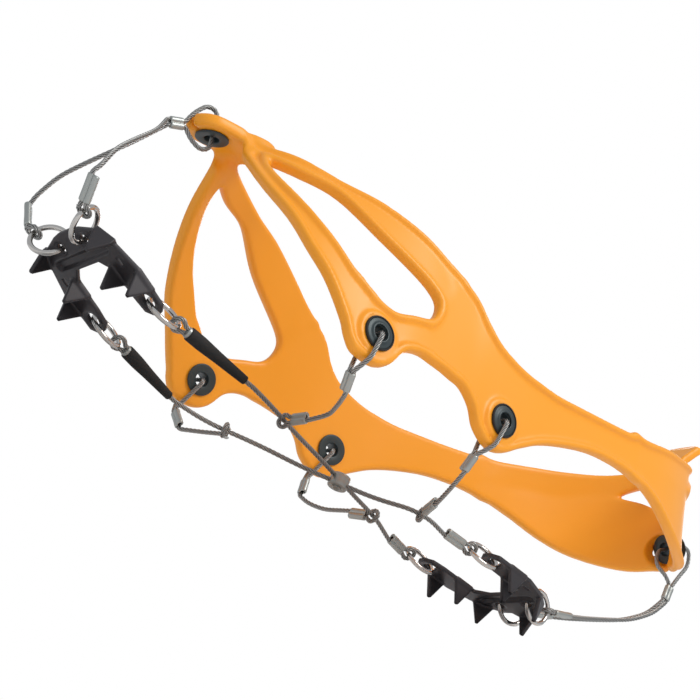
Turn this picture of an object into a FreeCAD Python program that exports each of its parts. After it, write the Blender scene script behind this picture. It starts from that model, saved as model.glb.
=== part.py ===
import FreeCAD, Part
import math
import os

# Pull-on ice cleats for one shoe.  An elastomer harness grips the shoe's upper and
# carries two steel spike plates under the sole on wire cables and rings.
# X points to the toe, Y to the wearer's left, Z up; the spike tips stand on Z = 0.
# All lengths are millimetres.

V = FreeCAD.Vector

# ---- driving dimensions ---------------------------------------------------------
LENGTH_SCALE = 1.0          # overall length against the shoe size drawn here
WIDTH_SCALE = 1.0           # overall width against the shoe size drawn here
X_MID = 71.5                # distance from the heel plate's ring holes to mid length
HARNESS_WALL = 4.4          # elastomer thickness
CABLE_R = 0.8               # wire rope radius
CABLE_GAP = 0.45            # room between a cable eye and what it loops round
STRAND_GAP = 2 * CABLE_R + 0.15     # distance between the two strands in a ferrule
FERRULE_BORE_GAP = 0.03     # ferrule bore over cable radius
RING_WIRE_R = 0.85          # ring wire radius
RING_MEAN_R = 5.7           # ring radius to the middle of its wire
PLATE_T = 1.5               # spike plate thickness
SPIKE_H = 8.0               # spike height below the plate's middle
SPIKE_W = 7.2               # spike width at its fold
RING_HOLE_R = 2.9           # holes that take the rings
EYELET_HOLE_R = 2.5         # clear hole in a grommet
GROMMET_BARREL_R = 3.4      # grommet barrel, outside
GROMMET_FLANGE_R = 5.6      # grommet flange radius
GROMMET_FLANGE_T = 0.8      # grommet flange thickness
BARREL_GAP = 0.05           # harness hole over grommet barrel
SLEEVE_R_REAR = 1.4         # black sleeve radius at its thin end
SLEEVE_BORE_GAP = 0.08      # sleeve bore over cable radius
FRONT_PITCH = 19.0          # nose-up angle of the front plate, degrees
FRONT_ARM = V(181.0, 0, RING_MEAN_R + 0.1)  # middle of the line through the front arm holes
FRONT_HOLE_Y = 16.4         # arm hole to the middle plane, front plate
HEEL_HOLE_Y = 16.5          # arm hole to the middle plane, heel plate
HEEL_HOLE_X = 27.2          # arm holes ahead of the heel plate's ring holes
TOE_HOLE_X = 24.4           # toe ring holes ahead of the arm holes
TOE_HOLE_Y = 6.9            # toe ring hole to the middle plane
REAR_HOLE_Y = 6.9           # rear ring hole to the middle plane, heel plate

os.makedirs("parts", exist_ok=True)
radii = {}


def place(p):
    """A point of the drawn shoe size, stretched to this size and centred on mid length."""
    return V((p[0] - X_MID) * LENGTH_SCALE, p[1] * WIDTH_SCALE, p[2])


def unit(v):
    w = V(v)
    w.normalize()
    return w


def mirror(shape):
    return shape.mirror(V(0, 0, 0), V(0, 1, 0))


def flip(points):
    return [(x, -y, z) for x, y, z in points]


def save(name, shape):
    shape.exportStep("parts/" + name + ".step")


# ---- curved paths and tubes -----------------------------------------------------
def path_wire(points, fixed=None, reach=None):
    """Straight runs joined by tangent arcs; returns the wire, its radii and its length.
    fixed gives a corner its own radius, reach the most that its arc takes of either run."""
    fixed, reach = fixed or {}, reach or {}
    edges, used = [], []
    start = points[0]
    for i in range(1, len(points) - 1):
        a, b, c = points[i - 1], points[i], points[i + 1]
        back, ahead = unit(a - b), unit(c - b)
        half = back.getAngle(ahead) / 2
        runs = min((a - b).Length, (c - b).Length)
        taken = min(0.45 * runs, reach.get(i, 1e3))
        radius = fixed.get(i, taken * math.tan(half))
        taken = radius / math.tan(half)
        used.append(radius)
        first = b + back * taken
        last = b + ahead * taken
        middle = unit(back + ahead)
        centre = b + middle * (radius / math.sin(half))
        if (first - start).Length > 1e-4:
            edges.append(Part.LineSegment(start, first).toShape())
        edges.append(Part.Arc(first, centre - middle * radius, last).toShape())
        start = last
    if (points[-1] - start).Length > 1e-4:
        edges.append(Part.LineSegment(start, points[-1]).toShape())
    wire = Part.Wire(edges)
    return wire, used, wire.Length


def tube(name, route, radius=CABLE_R):
    points, fixed, reach = route
    wire, used, length = path_wire(points, fixed, reach)
    ahead = unit(points[1] - points[0])
    profile = Part.Wire([Part.makeCircle(radius, points[0], ahead)])
    solid = wire.makePipeShell([profile], True, False)
    full = math.pi * radius ** 2 * length
    radii[name] = (used, length, solid.Volume / full)
    return solid


# ---- rings ----------------------------------------------------------------------
def ring_side(pull, lean):
    """Unit normal of a ring's plane: as near the lean as its pull allows."""
    out = unit(pull)
    return unit(lean - out * lean.dot(out))


def ring(hole, pull, lean):
    """A ring through a hole: its far side lies two mean radii along the pull."""
    return Part.makeTorus(RING_MEAN_R, RING_WIRE_R, hole + unit(pull) * RING_MEAN_R,
                          ring_side(pull, lean))


def ring_far(hole, pull):
    return hole + unit(pull) * 2 * RING_MEAN_R


# ---- ferrules -------------------------------------------------------------------
def ferrule(base, along, side, length, strands=2, wide=None, thick=None):
    """A crimped sleeve with a straight bore for each strand, from base along its length."""
    a, s = unit(along), unit(side)
    n = a.cross(s)
    wide = wide or STRAND_GAP + 2 * CABLE_R + 1.3
    thick = thick or 2 * CABLE_R + 1.5
    half_w, r = wide / 2, thick / 2
    c1, c2 = base + s * (half_w - r), base - s * (half_w - r)
    wire = Part.Wire([Part.LineSegment(c2 + n * r, c1 + n * r).toShape(),
                      Part.Arc(c1 + n * r, c1 + s * r, c1 - n * r).toShape(),
                      Part.LineSegment(c1 - n * r, c2 - n * r).toShape(),
                      Part.Arc(c2 - n * r, c2 - s * r, c2 + n * r).toShape()])
    body = Part.Face(wire).extrude(a * length)
    spots = [0] if strands == 1 else [STRAND_GAP / 2, -STRAND_GAP / 2]
    for k in spots:
        bore = Part.makeCylinder(CABLE_R + FERRULE_BORE_GAP, length + 2, base + s * k - a, a)
        body = body.cut(bore)
    return body


# ---- harness --------------------------------------------------------------------
def between(points, t):
    """Catmull-Rom curve through the points; t runs from 0 to their number less one."""
    n = len(points)
    i = min(int(t), n - 2)
    u = t - i
    p0, p1 = points[max(i - 1, 0)], points[i]
    p2, p3 = points[i + 1], points[min(i + 2, n - 1)]
    return tuple(0.5 * (2 * b + (c - a) * u + (2 * a - 5 * b + 4 * c - d) * u * u
                        + (3 * b - a - 3 * c + d) * u ** 3)
                 for a, b, c, d in zip(p0, p1, p2, p3))


def strip(edge_a, edge_b, wall=HARNESS_WALL, steps=2):
    """A band of even thickness between two edges that lie on the shoe."""
    total = (len(edge_a) - 1) * steps
    a = [place(between(edge_a, i / steps)) for i in range(total + 1)]
    b = [place(between(edge_b, i / steps)) for i in range(total + 1)]
    rows = []
    for i in range(total + 1):
        lo, hi = max(i - 1, 0), min(i + 1, total)
        run = unit((a[hi] + b[hi]) - (a[lo] + b[lo]))
        n = unit(run.cross(b[i] - a[i]))
        if n.dot((a[i] + b[i]) * 0.5 - place((60, 0, 45))) < 0:
            n = n * -1
        if abs(a[i].y) + abs(b[i].y) < 1e-6:
            n = unit(V(n.x, 0, n.z))    # a section on the middle plane meets its own mirror image
        rows.append([a[i], b[i], b[i] + n * wall, a[i] + n * wall])
    return faceted(rows)


def faceted(rows):
    """A solid between a row of four-cornered sections, its sides made of flat triangles."""
    faces = [Part.Face(Part.makePolygon(r + r[:1])) for r in (rows[0], rows[-1])]
    for p, q in zip(rows, rows[1:]):
        for k in range(4):
            m = (k + 1) % 4
            for tri in ([p[k], p[m], q[m]], [p[k], q[m], q[k]]):
                faces.append(Part.Face(Part.makePolygon(tri + tri[:1])))
    solid = Part.makeSolid(Part.makeShell(faces))
    return solid if solid.Volume > 0 else solid.reversed()

ARM_OUT = [(172, 7, 69.5), (167, 19, 58.8), (159.7, 31, 48.4), (153.2, 38, 39.9),
           (145.9, 43, 32.6), (137.6, 46.5, 22.7), (130.2, 48, 16)]
ARM_IN = [(166, 9, 74), (164.6, 17.5, 66), (158.6, 27, 58.2), (151.7, 34, 51.8),
          (145.6, 38, 47), (138.2, 42, 41.3), (131.4, 44.5, 37.6)]
INSTEP_UP = [(172, 2, 75.6), (159.3, 13, 77), (145.2, 20.5, 76), (131.5, 27, 76.6),
             (115.6, 33.5, 74), (100.8, 37, 68.3)]
INSTEP_LOW = [(171, 8, 71.6), (158.2, 19, 70), (145.7, 25, 69.7), (129.9, 33, 63.2),
              (112.1, 39, 57.2), (103, 41.5, 52)]
BAND_LOW = [(133.2, 47.4, 18.7), (130.2, 48, 16), (121.5, 47.6, 18), (114.5, 46.8, 27), (108.5, 46, 31),
            (99.6, 45.3, 33), (91, 44.7, 33.3)]
BAND_UP = [(134.1, 43.5, 39.1), (131.4, 44.5, 37.6), (122, 44.3, 37.6), (114, 43.8, 41.5), (107.5, 43, 45.5),
           (103, 41, 53), (94, 38.5, 66)]
SIDE_LOW = [(99.6, 45.3, 33), (89.5, 44.6, 33.3), (82, 44.3, 30), (76.8, 44, 25), (67.8, 43.5, 23),
            (58.1, 42.5, 29.8), (49.5, 41.5, 36.8), (37.9, 40.7, 43.5), (24.1, 39.7, 49.4),
            (5, 37.4, 54.3)]
SIDE_UP = [(103, 37.5, 69), (91.7, 38.5, 65.7), (84, 40.2, 60), (77, 40.9, 56.6), (66, 41, 55.2),
           (57, 40.8, 55.8), (48.5, 40.3, 57), (38, 39.6, 59.6), (23.8, 38.5, 63.4), (5, 36.5, 69)]
HEEL_RING_UP = [(5, 36.5, 69), (-11.7, 32, 76), (-24, 26.5, 80.8), (-36, 19, 86.3),
                (-44, 10, 92), (-46.5, 0, 95)]
HEEL_RING_LOW = [(5, 37, 61), (-11.5, 33.5, 67), (-25, 28.5, 71.5), (-37.5, 20.5, 77),
                 (-45.5, 10, 85), (-48.5, 0, 88.5)]
HEEL_ARM_UP = [(5, 37, 63), (-11.3, 33.3, 69), (-25, 28, 74), (-38, 19.5, 78),
               (-48.5, 7.5, 80), (-54.5, 0, 77)]
HEEL_ARM_LOW = [(5, 37.4, 54.3), (-10.8, 34.5, 54), (-27, 29.5, 51.8), (-40, 23, 51.5),
                (-55, 12, 54), (-62.5, 0, 58.5)]

TOE_GROMMET = place((182, 0, 74.2))
TOE_AXIS = unit(V(0.26, 0, 1))
HEEL_GROMMET = place((-60.6, 0, 66))
HEEL_AXIS = unit(V(-0.82, 0, 0.57))
FRONT_EYE = (125.2, 46.3, 26)
REAR_EYE = (68.5, 42.6, 33.3)


def side_axis(low, high, along):
    """Outward direction of the side wall through three points of its surface."""
    a = place(high) - place(low)
    n = unit(a.cross(place(along) - place(low)))
    return n if n.y > 0 else n * -1


FRONT_AXIS = side_axis((124.5, 47.8, 16), (124.5, 44.4, 37.5), (108.5, 46, 31))
REAR_AXIS = side_axis((67.8, 43.5, 23), (66, 41, 55.2), (49.5, 41.5, 36.8))


def disc(centre, axis, radius, wall=HARNESS_WALL, sink=0.0):
    return Part.makeCylinder(radius, wall, centre - axis * sink, axis)


def toe_plate():
    """The tongue over the toe box, rounded at its tip, that narrows to the neck."""
    low = [(188.8, 0, 71.5), (187.6, 5.5, 70.5), (183, 8.2, 70.5), (176, 8, 72), (170, 8, 73), (166, 8, 74)]
    left = [place(p) for p in low]
    right = [place(p) for p in flip(low)][::-1]
    axis = TOE_AXIS
    origin = TOE_GROMMET
    pts = [p - axis * (p - origin).dot(axis) for p in left + right[:-1]]
    wire = Part.makePolygon(pts + [pts[0]])
    return Part.Face(wire).extrude(axis * HARNESS_WALL)


def pull_tab():
    """The flared tongue behind the heel that a thumb pulls."""
    inner = [(-45.5, 92), (-47.5, 99), (-51.5, 106), (-57.5, 111.5)]
    half = [7.5, 7.5, 9.0, 7.5]
    rows = []
    for (x, z), w, lean in zip(inner, half, (0.1, 0.35, 0.6, 0.75)):
        n = unit(V(-1, 0, lean)) * 3.0
        a, b = place((x, w, z)), place((x, -w, z))
        rows.append([a, b, b + n, a + n])
    return faceted(rows)


def harness():
    near = strip(ARM_OUT, ARM_IN)
    for low, up in ((INSTEP_LOW, INSTEP_UP), (BAND_LOW, BAND_UP), (SIDE_LOW, SIDE_UP),
                    (HEEL_RING_LOW, HEEL_RING_UP), (HEEL_ARM_LOW, HEEL_ARM_UP)):
        near = near.fuse(strip(low, up))
    near = near.fuse(disc(place(FRONT_EYE), FRONT_AXIS, 9.3))
    near = near.fuse(disc(place(REAR_EYE), REAR_AXIS, 9.3))
    body = near.fuse(mirror(near))
    body = body.fuse(toe_plate()).fuse(pull_tab())
    body = body.fuse(disc(HEEL_GROMMET, HEEL_AXIS, 8.0))
    for centre, axis in grommet_places():
        hole = disc(centre, axis, GROMMET_BARREL_R + BARREL_GAP, HARNESS_WALL + 12, 6)
        seat_out = disc(centre + axis * HARNESS_WALL, axis, GROMMET_FLANGE_R + 0.6, 6)
        seat_in = disc(centre - axis * 6, axis, GROMMET_FLANGE_R + 0.6, 6)
        body = body.cut(hole).cut(seat_out).cut(seat_in)
    return body


def flipped(v):
    return V(v.x, -v.y, v.z)


def grommet_places():
    near_front, near_rear = place(FRONT_EYE), place(REAR_EYE)
    return [(TOE_GROMMET, TOE_AXIS), (HEEL_GROMMET, HEEL_AXIS),
            (near_front, FRONT_AXIS), (flipped(near_front), flipped(FRONT_AXIS)),
            (near_rear, REAR_AXIS), (flipped(near_rear), flipped(REAR_AXIS))]


GROMMET_NAMES = ["toe", "heel", "front_left", "front_right", "rear_left", "rear_right"]


def grommet_halves(centre, axis):
    """Outer half with the barrel, and inner half whose short neck fits in the barrel."""
    top = centre + axis * (HARNESS_WALL + 0.02)
    outer = disc(top, axis, GROMMET_FLANGE_R, GROMMET_FLANGE_T)
    outer = outer.fuse(disc(centre, axis, GROMMET_BARREL_R, HARNESS_WALL + GROMMET_FLANGE_T))
    bore = GROMMET_BARREL_R - 0.45
    outer = outer.cut(disc(centre, axis, bore, 12, 4))
    inner = disc(centre - axis * (GROMMET_FLANGE_T + 0.02), axis, GROMMET_FLANGE_R, GROMMET_FLANGE_T)
    neck = disc(centre - axis * GROMMET_FLANGE_T, axis, bore - 0.02, HARNESS_WALL + GROMMET_FLANGE_T)
    inner = inner.fuse(neck).cut(disc(centre, axis, EYELET_HOLE_R, 12, 4))
    return outer, inner


# ---- spike plates ---------------------------------------------------------------
def rounded(points, radii_at):
    """Closed flat outline in the plate's plane, corners rounded by arcs where given."""
    n = len(points)
    edges = []
    cut = []
    for i in range(n):
        b = V(points[i][0], points[i][1], 0)
        a = V(points[i - 1][0], points[i - 1][1], 0)
        c = V(points[(i + 1) % n][0], points[(i + 1) % n][1], 0)
        r = radii_at[i]
        back, ahead = unit(a - b), unit(c - b)
        half = back.getAngle(ahead) / 2
        if r <= 0 or half > 1.5:
            cut.append((b, None, b))
            continue
        t = r / math.tan(half)
        middle = unit(back + ahead)
        centre = b + middle * (r / math.sin(half))
        cut.append((b + back * t, centre - middle * r, b + ahead * t))
    for i in range(n):
        first, mid, last = cut[i]
        if mid is not None:
            edges.append(Part.Arc(first, mid, last).toShape())
        after = cut[(i + 1) % n][0]
        if (after - last).Length > 1e-5:
            edges.append(Part.LineSegment(last, after).toShape())
    return Part.Face(Part.Wire(edges))


def spike(u, v, turn):
    """A tooth folded down from the plate; turn is the direction of its fold line."""
    w, h, t = SPIKE_W / 2, SPIKE_H, PLATE_T
    tip = 0.5
    pts = [V(-w, 0, t / 2), V(w, 0, t / 2), V(w, 0, -t / 2 - 0.6), V(tip, 0, -h), V(-tip, 0, -h),
           V(-w, 0, -t / 2 - 0.6), V(-w, 0, t / 2)]
    tooth = Part.Face(Part.makePolygon(pts)).extrude(V(0, t, 0))
    tooth.translate(V(0, -t / 2, 0))
    tooth.rotate(V(0, 0, 0), V(0, 0, 1), turn)
    tooth.translate(V(u, v, 0))
    return tooth


def bead(u0, v0, u1, v1, radius, rise):
    """A pressed stiffening rib: a round-ended bar that stands proud of the plate's top."""
    a, b = V(u0, v0, 0), V(u1, v1, 0)
    z = PLATE_T / 2 + rise - radius
    rod = Part.makeCylinder(radius, (b - a).Length, V(u0, v0, z), b - a)
    ends = Part.makeSphere(radius, V(u0, v0, z)).fuse(Part.makeSphere(radius, V(u1, v1, z)))
    rib = rod.fuse(ends)
    keep = Part.makeBox(200, 200, 10, V(-100, -100, 0))
    return rib.common(keep)


def holes(plate, spots, radius):
    for u, v in spots:
        plate = plate.cut(Part.makeCylinder(radius, 10, V(u, v, -5)))
    return plate


def both(points):
    """An outline given for the left half, from the middle plane round to it again."""
    return points + [(u, -v) for u, v in reversed(points)]


def slot(plate, u, v):
    bar = Part.makeBox(3.0, 1.2, 10, V(u - 1.5, v - 0.6, -5))
    return plate.cut(bar)


def front_plate():
    y = FRONT_HOLE_Y
    half = [(16.5, 6.5), (12.5, y - 5.6), (2.5, y - 5.4), (-2.8, y - 4.6), (-4.8, y - 1.6),
            (-4.8, y + 1.8), (-2.8, y + 4.6), (10.5, y + 5.2), (21.2, y + 2.0), (25.8, 15.5),
            (28.6, 7.0)]
    r = [3.0, 3.0, 1.0, 2.0, 2.0, 2.0, 2.0, 1.5, 1.5, 1.5, 0.5]
    face = rounded(both(half), r + r[::-1])
    plate = face.extrude(V(0, 0, PLATE_T))
    plate.translate(V(0, 0, -PLATE_T / 2))
    # the toe edge carries a small bridge at its middle
    nose = Part.makeBox(6, 8, PLATE_T, V(24.5, -4, -PLATE_T / 2))
    plate = plate.fuse(nose)
    for s in (1, -1):
        plate = plate.fuse(spike(23.3, s * 17.2, -s * 33))
        plate = plate.fuse(spike(10.9, s * (y - 4.9), 0))
        plate = plate.fuse(spike(6.2, s * (y + 4.3), 0))
        plate = slot(plate, 14.2, s * y)
    plate = plate.fuse(bead(19.6, -13.2, 19.6, 13.2, 1.6, 1.1))
    plate = holes(plate, [(0, y), (0, -y), (TOE_HOLE_X, TOE_HOLE_Y), (TOE_HOLE_X, -TOE_HOLE_Y)],
                  RING_HOLE_R)
    return plate


def heel_plate():
    y = HEEL_HOLE_Y
    x = HEEL_HOLE_X
    half = [(7.2, 5.5), (9.6, y - 5.5), (x - 2.4, y - 5.3), (x + 2.8, y - 4.4), (x + 4.8, y - 1.6),
            (x + 4.8, y + 1.6), (x + 2.4, y + 4.6), (14.0, y + 5.0), (4.6, y + 1.6), (-2.4, 12.4),
            (-5.0, 9.6), (-5.4, 5.6), (-8.8, 4.2)]
    r = [2.5, 3.0, 1.0, 2.0, 2.0, 2.0, 2.0, 2.5, 1.0, 1.0, 1.5, 0.8, 0.6]
    face = rounded(both(half), r + r[::-1])
    plate = face.extrude(V(0, 0, PLATE_T))
    plate.translate(V(0, 0, -PLATE_T / 2))
    for s in (1, -1):
        plate = plate.fuse(spike(20.0, s * (y + 4.3), 0))
        plate = plate.fuse(spike(14.6, s * (y - 4.8), 0))
        plate = plate.fuse(spike(1.1, s * 14.4, s * 36))
        plate = slot(plate, 10.9, s * y)
    plate = plate.fuse(spike(-8.1, 0, 90))
    plate = plate.fuse(bead(4.0, -11.5, 4.0, 11.5, 1.6, 1.1))
    plate = holes(plate, [(x, y), (x, -y), (0, REAR_HOLE_Y), (0, -REAR_HOLE_Y)], RING_HOLE_R)
    return plate


def on_front(shape):
    shape.rotate(V(0, 0, 0), V(0, 1, 0), -FRONT_PITCH)
    shape.translate(place(FRONT_ARM))
    return shape


def front_point(u, v, w=0.0):
    a = math.radians(FRONT_PITCH)
    base = place(FRONT_ARM)
    return base + V(u * math.cos(a) - w * math.sin(a), v, u * math.sin(a) + w * math.cos(a))


def heel_point(u, v, w=0.0):
    return place((0, 0, SPIKE_H)) + V(u, v, w)


# ---- where the rings hang and how they pull ----------------------------------------
FRONT_UP = front_point(0, 0, 1) - front_point(0, 0, 0)
TOE_PULL = V(7.0, 7.9, 2.7)
ARM_PULL = V(-11.4, 1.2, -1.0)
HEEL_ARM_PULL = V(11.3, -0.6, -1.6)
REAR_PULL = V(-11.0, -1.4, 3.2)
ARM_LEAN = V(0, 1, 1)       # the four arm rings all lie over to the same side
END_LEAN = V(0, 1, 0)       # the toe and rear rings stand upright
NECK = 3.1                  # ring wire to the face of its ferrule


# ---- cable routes ------------------------------------------------------------------
def front_arm_far(side):
    hole = front_point(0, side * FRONT_HOLE_Y)
    pull = V(ARM_PULL.x, side * ARM_PULL.y, ARM_PULL.z)
    return ring_far(hole, pull), pull


def heel_arm_far(side):
    hole = heel_point(HEEL_HOLE_X, side * HEEL_HOLE_Y)
    pull = V(HEEL_ARM_PULL.x, side * HEEL_ARM_PULL.y, HEEL_ARM_PULL.z)
    return ring_far(hole, pull), pull


def toe_far(side):
    pull = V(TOE_PULL.x, side * TOE_PULL.y, TOE_PULL.z)
    return ring_far(front_point(TOE_HOLE_X, side * TOE_HOLE_Y), pull), pull


def toe_lean(side):
    """The toe rings stand square to their own pull."""
    return FRONT_UP.cross(V(TOE_PULL.x, side * TOE_PULL.y, TOE_PULL.z))


def rear_far(side):
    pull = V(REAR_PULL.x, side * REAR_PULL.y, REAR_PULL.z)
    return ring_far(heel_point(0, side * REAR_HOLE_Y), pull), pull


EYE_ARC = CABLE_R + RING_WIRE_R + CABLE_GAP
UP = V(0, 0, 1)
MOUTH = 0.8                 # a strand bends this far outside a ferrule, never in its bore


def end_loop(tip, pull, lean, along, neck, ferrule_length):
    """A loop round something at tip: the dead strand in the ferrule, round, and back out
    of the ferrule's far end.  The loop opens along the lean; neck is tip to ferrule."""
    side = ring_side(pull, lean)
    axis, out = unit(along), unit(pull)
    base = tip + out * neck
    half, arc = side * (STRAND_GAP / 2), side * EYE_ARC
    points = [base + half + axis * (ferrule_length - 0.6), base + half - axis * MOUTH,
              tip + out * 0.45 + arc, tip - out * EYE_ARC + arc,
              tip - out * EYE_ARC - arc, tip + out * 0.45 - arc,
              base - half - axis * MOUTH, base - half + axis * (ferrule_length + MOUTH)]
    return points, base, axis, side


LOOP_POINTS = 8             # how many points end_loop gives


def loop_bends(count, start=True):
    """Radius and reach of the bends of an end loop, at a route's start or its end."""
    fixed, reach = {}, {}
    for i, kind in ((1, "mouth"), (2, "shoulder"), (3, "arc"), (4, "arc"), (5, "shoulder"),
                    (6, "mouth"), (7, "mouth")):
        k = i if start else count - 1 - i
        if kind == "arc":
            fixed[k] = EYE_ARC - 0.02
        else:
            reach[k] = MOUTH - 0.05 if kind == "mouth" else 0.42
    return fixed, reach


def both_loops(points):
    fixed, reach = loop_bends(len(points))
    fixed_end, reach_end = loop_bends(len(points), False)
    fixed.update(fixed_end)
    reach.update(reach_end)
    return fixed, reach


FERRULE_SHORT = 3.0         # crimp at the sleeved end of a cross cable
FERRULE_LONG = 8.5          # crimp at a plain ring end
SLEEVE_START = 1.0          # sleeve mouth behind the crimp's front face
SLEEVE_SHY = 2.5            # sleeve's thin end short of the cable's next bend
CLAMP = (85.8, -0.4, 4.6)   # middle of the crossing
CROSS_LIFT = CABLE_R + 0.15           # each cable's offset at the crossing, up or down

# side is the front arm the cable starts from; the other end is on the opposite heel arm
CROSS_ROUTES = {
    "right": (-1, [(141, -23.5, 3.0), (128.0, -22.4, 3.4), (111, -13.4, 4.0), (97, -6.3, -1)],
              [(76, 7.6, -1), (66, 15.2, 5.0), (58.5, 16.9, 5.3)]),
    "left": (1, [(140, 19.2, 2.8), (129.5, 15.6, 3.4), (113, 8.2, 4.6), (97, 2.6, -1)],
             [(75, -4.2, -1), (66.5, -7.2, 6.0), (60.0, -9.4, 6.0)]),
}


def cross_cable(name):
    """Ring eye, crimp, sleeve, crossing, crimp and ring eye of one long cable."""
    side, before, after = CROSS_ROUTES[name]
    lift = CROSS_LIFT if name == "left" else -CROSS_LIFT
    tip, pull = front_arm_far(side)
    sleeve_end = place(before[0])
    axis = unit(sleeve_end - (tip + unit(pull) * NECK))
    head, base, axis, turn = end_loop(tip, pull, ARM_LEAN, axis, NECK, FERRULE_SHORT)
    z = CLAMP[2] + lift
    middle = [place((x, y, z if h < 0 else h)) for x, y, h in before[1:] + after]
    tip2, pull2 = heel_arm_far(-side)
    aim = middle[-1] - tip2
    tail, base2, axis2, turn2 = end_loop(tip2, pull2, ARM_LEAN, aim, NECK, FERRULE_LONG)
    points = head + [sleeve_end] + middle + tail[::-1]
    fixed, reach = both_loops(points)
    reach[LOOP_POINTS] = SLEEVE_SHY
    return (points, fixed, reach), (base, axis, turn), (base2, axis2, turn2), sleeve_end


def sleeve(base, axis, turn, end):
    """Tapered black tube: a wide mouth over the crimp, then a bore on the single cable."""
    start = base + axis * SLEEVE_START
    strand = base - turn * (STRAND_GAP / 2) + axis * (FERRULE_SHORT + 0.8)
    run = end - strand
    d = unit(run)
    length = run.Length - SLEEVE_SHY
    mouth = FERRULE_SHORT - SLEEVE_START + 2.6
    crimp_r = STRAND_GAP / 2 + CABLE_R + 0.18
    front = Part.makeCylinder(crimp_r + 0.4, mouth, start, axis)
    joint = base + axis * (SLEEVE_START + mouth - 0.4)
    cone = Part.makeCone(crimp_r + 0.4, SLEEVE_R_REAR, (end - joint).Length - SLEEVE_SHY, joint,
                         unit(end - joint))
    body = front.fuse(cone)
    body = body.cut(Part.makeCylinder(crimp_r + 0.04, mouth - 0.6, start - axis * 0.1, axis))
    bore = Part.makeCylinder(CABLE_R + SLEEVE_BORE_GAP, length + 6, strand - d * 1.0, d)
    knee = Part.makeSphere(CABLE_R + SLEEVE_BORE_GAP + 0.35, strand)
    return body.cut(bore).cut(knee)


def crimp_round(base, axis, turn):
    r = STRAND_GAP / 2 + CABLE_R + 0.18
    body = Part.makeCylinder(r, FERRULE_SHORT, base, axis)
    for k in (STRAND_GAP / 2, -STRAND_GAP / 2):
        body = body.cut(Part.makeCylinder(CABLE_R + FERRULE_BORE_GAP, FERRULE_SHORT + 2,
                                          base + turn * k - axis, axis))
    return body


# side cables: eyelet, the rim below it, top crimp, the single strand's route, then which cross cable the
# lower loop goes round, on which run of that cable and how far along the run
FERRULE_SIDE_TOP = 6.0
FERRULE_SIDE_LOW = {"front": 5.6, "rear": 7.5}
SIDE_ROUTES = {
    "front": (FRONT_EYE, FRONT_AXIS, (126.0, 48.0, 16.0), (127.4, 48.6, 11.6), (125.0, 45.4, 6.9),
              [(120.6, 38.0, 6.4), (116.0, 27.6, 7.0)]),
    "rear": (REAR_EYE, REAR_AXIS, (69.6, 43.5, 23.0), (71.8, 44.4, 18.6), (72.2, 42.6, 12.9),
             [(70.6, 38.4, 9.2), (67.6, 31.6, 7.8)]),
}
SIDE_TIPS = {"front_left": ("left", 9, 0.55), "front_right": ("right", 9, 0.35),
             "rear_left": ("right", -10, 0.5), "rear_right": ("left", -10, 0.5)}
EYELET_TURN_R = 1.7         # bend of a side cable where it goes in and out of its eyelet


def side_cable(name, crosses):
    row, side = name.split("_")
    s = 1 if side == "left" else -1
    eye_at, axis, rim, top, low, route = SIDE_ROUTES[row]

    def at(p):
        q = place(p)
        return V(q.x, s * q.y, q.z)

    n = V(axis.x, s * axis.y, axis.z)
    base, end = at(top), at(low)
    down = unit(end - base)
    turn = unit(n - down * n.dot(down))
    half = STRAND_GAP / 2
    out = at(eye_at) + n * (HARNESS_WALL + GROMMET_FLANGE_T + CABLE_R + 0.9)
    inside = at(eye_at) - n * (GROMMET_FLANGE_T + CABLE_R + 1.5)
    over = at(rim) + n * (HARNESS_WALL + CABLE_R + 0.5)
    length = FERRULE_SIDE_TOP
    points = [base - turn * half + down * (length - 0.6), base - turn * half - down * MOUTH,
              inside, out, over, base + turn * half - down * MOUTH,
              base + turn * half + down * (length + MOUTH)]
    points += [at(p) for p in route]
    cable, run, share = SIDE_TIPS[name]
    line = crosses[cable]
    a, b = line[run], line[run + 1]
    tip = a + (b - a) * share
    pull = unit(points[-1] - tip)
    tail, base2, axis2, turn2 = end_loop(tip, pull, pull.cross(b - a), pull, NECK, FERRULE_SIDE_LOW[row])
    points += tail[::-1]
    fixed, reach = loop_bends(len(points), False)
    fixed.update({2: EYELET_TURN_R, 3: EYELET_TURN_R})
    reach.update({1: MOUTH - 0.05, 4: 2.0, 5: MOUTH - 0.05, 6: MOUTH - 0.05})
    return (points, fixed, reach), (base, down, turn), (base2, axis2, turn2)


def through_centre(legs, base, axis, half, length, loop):
    """The whole route of an end cable: one leg, the centre crimp, the loop, and back."""
    first = legs[1][0] + [base + half + axis * (length + MOUTH), base + half - axis * MOUTH]
    last = [base - half - axis * MOUTH, base - half + axis * (length + MOUTH)] + legs[-1][0][::-1]
    points = first + loop + last
    fixed, reach = both_loops(points)
    for k in (len(first) - 2, len(first) - 1, len(first) + len(loop), len(first) + len(loop) + 1):
        reach[k] = MOUTH - 0.05
    return points, fixed, reach


# toe cable: ring eye, leg, centre crimp, loop through the toe grommet, and back
TOE_CRIMP = ((192.6, 0, 70.9), (0.85, 0, -0.53), 5.0)
TOE_LEG = [(201.5, 7.4, 58.5), (208.6, 13.6, 46.5), (213.2, 17.6, 38.0), (215.4, 20.2, 29.0)]
TOE_LOOP = [(191.2, 0, 77.2), (188.4, 0, 82.4), (184.35, 0, 83.0), (180.9, 0, 70.2),
            (183.6, 0, 67.6), (188.2, 0, 68.4)]


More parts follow.
